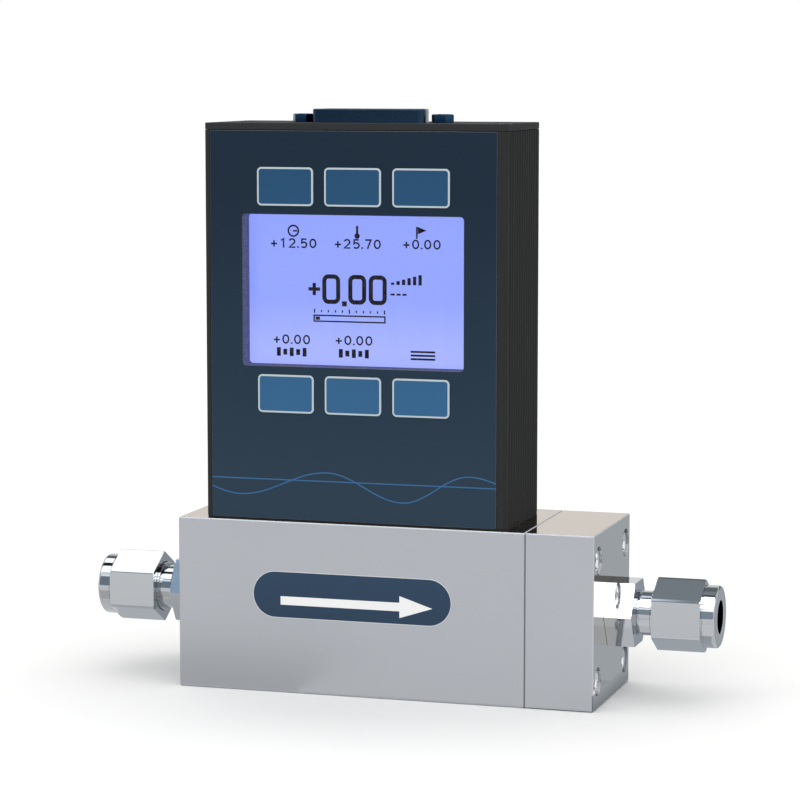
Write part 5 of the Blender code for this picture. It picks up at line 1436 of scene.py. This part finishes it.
def build_flags(s):
    """Boards that only polished metal shows, in metres. Those over and in front of the meter draw the dark
    and white bands on its chrome. Those on the floor light the fittings' undersides and grey the mirror of
    the end face, whose foot a small upright card shades."""
    top, front, low = s.flag_height, -s.wall_distance, 0.4 * MM
    over, raised_card, facet = top - 2.0 * MM, low + 0.1 * MM, 1.0
    white, bright = (s.softbox,) * 3, (s.bright_box,) * 3
    grey, slate, mouth_card = linear("#a3abb1"), linear("#92a2af"), (0.95,) * 3
    split, inlet_end, side, skirt = -0.445, -1.8, 47.72 * MM, -0.02 * MM
    face, step, rear = 47.8 * MM, 54.0 * MM, 14.5 * MM
    level = (   # name, height, left, right, near, far, level
        ("flag_grey_far", top, split, 1.2, 0.60, 1.9, linear("#848a8c")),
        ("flag_grey", top, split, 1.2, 0.42, 0.60, grey),
        ("flag_grey_mouth", top, -0.235, 1.2, 0.075, 0.42, grey),
        ("softbox_neck", top, split, -0.235, 0.11, 0.42, (1.4, 1.6, 1.8)),
        ("flag_black_outlet", top, split, 1.2, -0.12, 0.075, linear("#2c3134")),
        ("softbox_outlet", top, split, 1.8, -1.02, -0.12, bright),
        ("flag_slate_outlet", top, split, 1.8, -1.15, -1.02, (0.4, 0.48, 0.55)),
        ("softbox_outlet_near", top, split, 1.8, -1.69, -1.15, bright),
        ("flag_grey_back", top, inlet_end, -0.6, 0.85, 1.9, (0.22, 0.24, 0.24)),
        ("softbox_back", top, inlet_end, split, 0.12, 0.85, white),
        ("flag_black_mouth", over, inlet_end, -1.0, 0.12, 0.6, linear("#5c6466")),
        ("flag_black_inlet", top, inlet_end, split, -0.27, 0.12, linear("#2c3438")),
        ("softbox_inlet", top, inlet_end, split, -1.15, -0.27, white),
        ("flag_slate_facet", facet, -0.615, -0.49, -0.96, -0.785, (0.47, 0.66, 0.86)),
        ("flag_slate_line", top, inlet_end, split, -1.62, -1.15, linear("#6f7e88")),
        ("flag_slate_inlet", top, inlet_end, split, -2.2, -1.62, slate),
        ("card_behind", low, 0.04, 0.9, rear, 1.2, linear("#adb4bb")),
        ("card_behind_inlet", low, -0.2, 0.04, 0.022, 1.2, linear("#b2b8bd")),
        ("card_behind_face", low, face, step, 0.003, rear, linear("#a0a8b0")),
        ("card_outlet_face", low, face, step, -0.0125, 0.003, (0.95,) * 3),
        ("card_outlet", low, step, 0.068, -0.0125, rear, linear("#cbd1d6")),
        ("card_outlet_mouth", low, 0.068, 0.125, -0.0125, rear, mouth_card),
        ("card_outlet_front", low, face, 0.125, -0.055, -0.0125, (1.1,) * 3),
        ("card_front_left", low, -0.2, -0.02, -0.055, -0.0176, (0.74,) * 3),
        ("card_front_right", low, -0.02, 0.0476, -0.055, -0.0176, (0.95,) * 3),
        ("card_inlet", low, -0.075, -0.048, -0.01, 0.022, (0.7, 0.73, 0.76)),
        ("card_inlet_mouth", low, -0.12, -0.075, -0.01, 0.022, mouth_card),
    )
    for name, z, left, right, near, far, shine in level:
        flag(name, [(left, near, z), (right, near, z), (right, far, z), (left, far, z)], shine)
    slanted = ((0.067, rear), (0.3, rear), (0.3, 0.15), (0.098, 0.15))
    flag("card_nut", [(x, y, raised_card) for x, y in slanted], linear("#b9bec3"))
    upright = (   # name, distance, left, right, foot, head, level
        ("wall_outlet", front, -0.71, 2.5, 0.0, 1.15, linear("#adbcc8")),
        ("softbox_outlet_low", front, -0.71, 2.5, 1.15, 1.9, white),
        ("wall_inlet", front, -3.0, -0.71, 0.0, 1.42, slate),
        ("wall_behind", 1.3, 0.12, 0.9, 0.05, 0.55, (0.2, 0.2, 0.195)),
    )
    for name, y, left, right, foot, head, shine in upright:
        flag(name, [(left, y, foot), (right, y, foot), (right, y, head), (left, y, head)], shine)
    flag("card_end", [(side, -0.018, skirt), (side, 0.02, skirt), (side, 0.02, FOOT_HEIGHT),
                      (side, -0.018, FOOT_HEIGHT)], linear("#a6aeb6"), linear("#848b91"))


def build_floor(s):
    """Pale matt floor, lifted where it is seen except in the contact shadow round the meter."""
    half, low = s.floor_size / 2, -0.03 * MM
    mesh = bpy.data.meshes.new("floor")
    mesh.from_pydata([(-half, -half, low), (half, -half, low), (half, half, low), (-half, half, low)], [],
                     [(0, 1, 2, 3)])
    floor = bpy.data.objects.new("floor", mesh)
    paint, tree, shader = surface_of("pale matt floor", s.floor_colour, 0.9, gloss=0.0)
    shader.inputs["Emission Color"].default_value = (1.0, 1.0, 1.0, 1.0)
    open_sky = add(tree, "ShaderNodeAmbientOcclusion", {"Distance": s.contact}, samples=16)
    openness = add(tree, "ShaderNodeMath", {0: open_sky.outputs["AO"], 1: 2.8}, operation="POWER")
    lift = add(tree, "ShaderNodeMath",
               {0: openness.outputs[0], 1: white_where_seen(tree, 0.0, s.floor_glow)}, operation="MULTIPLY")
    tree.links.new(lift.outputs[0], shader.inputs["Emission Strength"])
    mesh.materials.append(paint)
    bpy.context.scene.collection.objects.link(floor)


def build_surround(s):
    """World that is white where it is seen and lights the meter evenly from all round."""
    world = bpy.context.scene.world or bpy.data.worlds.new("studio")
    bpy.context.scene.world = world
    world.use_nodes = True
    sky = world.node_tree
    background = sky.nodes["Background"]
    background.inputs["Color"].default_value = (1.0, 1.0, 1.0, 1.0)
    sky.links.new(white_where_seen(sky, s.ambient), background.inputs["Strength"])


def build_lamp(name, power, size, place):
    """Round area lamp that faces the meter."""
    lamp = bpy.data.lights.new(name, "AREA")
    lamp.energy = power
    lamp.shape = "DISK"
    lamp.size = size
    holder = bpy.data.objects.new(name, lamp)
    holder.location = place
    holder.rotation_euler = (Vector(LIT_POINT) - Vector(place)).to_track_quat("-Z", "Y").to_euler()
    bpy.context.scene.collection.objects.link(holder)


def build_camera(s):
    """Camera at the photograph's angle."""
    view = bpy.data.cameras.new("camera")
    view.lens = s.lens
    view.clip_start = 0.01
    view.clip_end = 100.0
    camera = bpy.data.objects.new("camera", view)
    camera.location = (s.camera_x, s.camera_y, s.camera_z)
    camera.rotation_euler = (math.pi / 2 - s.elevation, 0.0, s.azimuth)
    bpy.context.scene.collection.objects.link(camera)
    bpy.context.scene.camera = camera


def build_stage():
    """Boards, pale floor, white surround, two soft lamps and the camera."""
    s = user_values("stage")
    build_flags(s)
    build_floor(s)
    build_surround(s)
    build_lamp("key lamp", s.key, *KEY_LAMP)
    build_lamp("fill lamp", s.fill, *FILL_LAMP)
    build_camera(s)
    bpy.context.scene.view_settings.view_transform = "Standard"


# Operators and panel


class METER_OT_stage(bpy.types.Operator):
    """Make the floor, the surround, the lamps and the camera"""

    bl_idname = "meter.stage"
    bl_label = "Stage"

    def execute(self, context):
        build_stage()
        return {"FINISHED"}


class METER_OT_block(bpy.types.Operator):
    """Finish the steel blocks and make the label with its arrow"""

    bl_idname = "meter.block"
    bl_label = "Flow block"

    def execute(self, context):
        build_block()
        return {"FINISHED"}


class METER_OT_fittings(bpy.types.Operator):
    """Make the two compression fittings and their nuts"""

    bl_idname = "meter.fittings"
    bl_label = "Fittings"

    def execute(self, context):
        build_fittings()
        return {"FINISHED"}


class METER_OT_screws(bpy.types.Operator):
    """Make the cap screws and the long countersunk screws"""

    bl_idname = "meter.screws"
    bl_label = "Screws"

    def execute(self, context):
        build_screws()
        return {"FINISHED"}


class METER_OT_housing(bpy.types.Operator):
    """Make the ribbed housing and its cover plate"""

    bl_idname = "meter.housing"
    bl_label = "Housing"

    def execute(self, context):
        build_housing()
        return {"FINISHED"}


class METER_OT_film(bpy.types.Operator):
    """Make the printed front film"""

    bl_idname = "meter.film"
    bl_label = "Front film"

    def execute(self, context):
        build_film()
        return {"FINISHED"}


class METER_OT_keys(bpy.types.Operator):
    """Make the six membrane keys"""

    bl_idname = "meter.keys"
    bl_label = "Keys"

    def execute(self, context):
        build_keys()
        return {"FINISHED"}


class METER_OT_display(bpy.types.Operator):
    """Make the display's figures and finish its glass, lens and frame"""

    bl_idname = "meter.display"
    bl_label = "Display"

    def execute(self, context):
        build_display()
        return {"FINISHED"}


class METER_OT_connector(bpy.types.Operator):
    """Make the fifteen-way connector and its jack posts"""

    bl_idname = "meter.connector"
    bl_label = "Connector"

    def execute(self, context):
        build_connector()
        return {"FINISHED"}


class METER_OT_electronics(bpy.types.Operator):
    """Finish the boards and sensors inside the housing"""

    bl_idname = "meter.electronics"
    bl_label = "Electronics"

    def execute(self, context):
        build_electronics()
        return {"FINISHED"}


OPERATORS = (
    METER_OT_stage, METER_OT_block, METER_OT_fittings, METER_OT_screws, METER_OT_housing, METER_OT_film,
    METER_OT_keys, METER_OT_display, METER_OT_connector, METER_OT_electronics,
)
GROUPS = {
    "meter_stage": MeterStage, "meter_block": MeterBlock, "meter_fittings": MeterFittings,
    "meter_screws": MeterScrews, "meter_housing": MeterHousing, "meter_film": MeterFilm,
    "meter_display": MeterDisplay, "meter_connector": MeterConnector,
}


class METER_PT_panel(bpy.types.Panel):
    """Sizes, colours and build steps of the flow meter"""

    bl_label = "Gas mass flow meter"
    bl_idname = "METER_PT_panel"
    bl_space_type = "VIEW_3D"
    bl_region_type = "UI"
    bl_category = "Meter"

    def draw(self, context):
        for operator in OPERATORS:
            self.layout.operator(operator.bl_idname)
        for name, group in GROUPS.items():
            box = self.layout.box()
            box.label(text=group.__doc__)
            for key in group.__annotations__:
                box.prop(getattr(context.scene, name), key)


def register():
    """Registers the groups, operators and panel, and gives the scene each group of values."""
    for item in (*GROUPS.values(), *OPERATORS, METER_PT_panel):
        bpy.utils.register_class(item)
    for name, group in GROUPS.items():
        setattr(bpy.types.Scene, name, PointerProperty(type=group))


def unregister():
    """Takes away what register made, in reverse order."""
    for name in GROUPS:
        delattr(bpy.types.Scene, name)
    for item in (METER_PT_panel, *reversed(OPERATORS), *reversed(GROUPS.values())):
        bpy.utils.unregister_class(item)


def main():
    register()
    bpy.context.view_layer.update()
    bpy.ops.meter.stage()
    bpy.ops.meter.block()
    bpy.ops.meter.fittings()
    bpy.ops.meter.screws()
    bpy.ops.meter.housing()
    bpy.ops.meter.film()
    bpy.ops.meter.keys()
    bpy.ops.meter.display()
    bpy.ops.meter.connector()
    bpy.ops.meter.electronics()


if __name__ == "__main__":
    main()
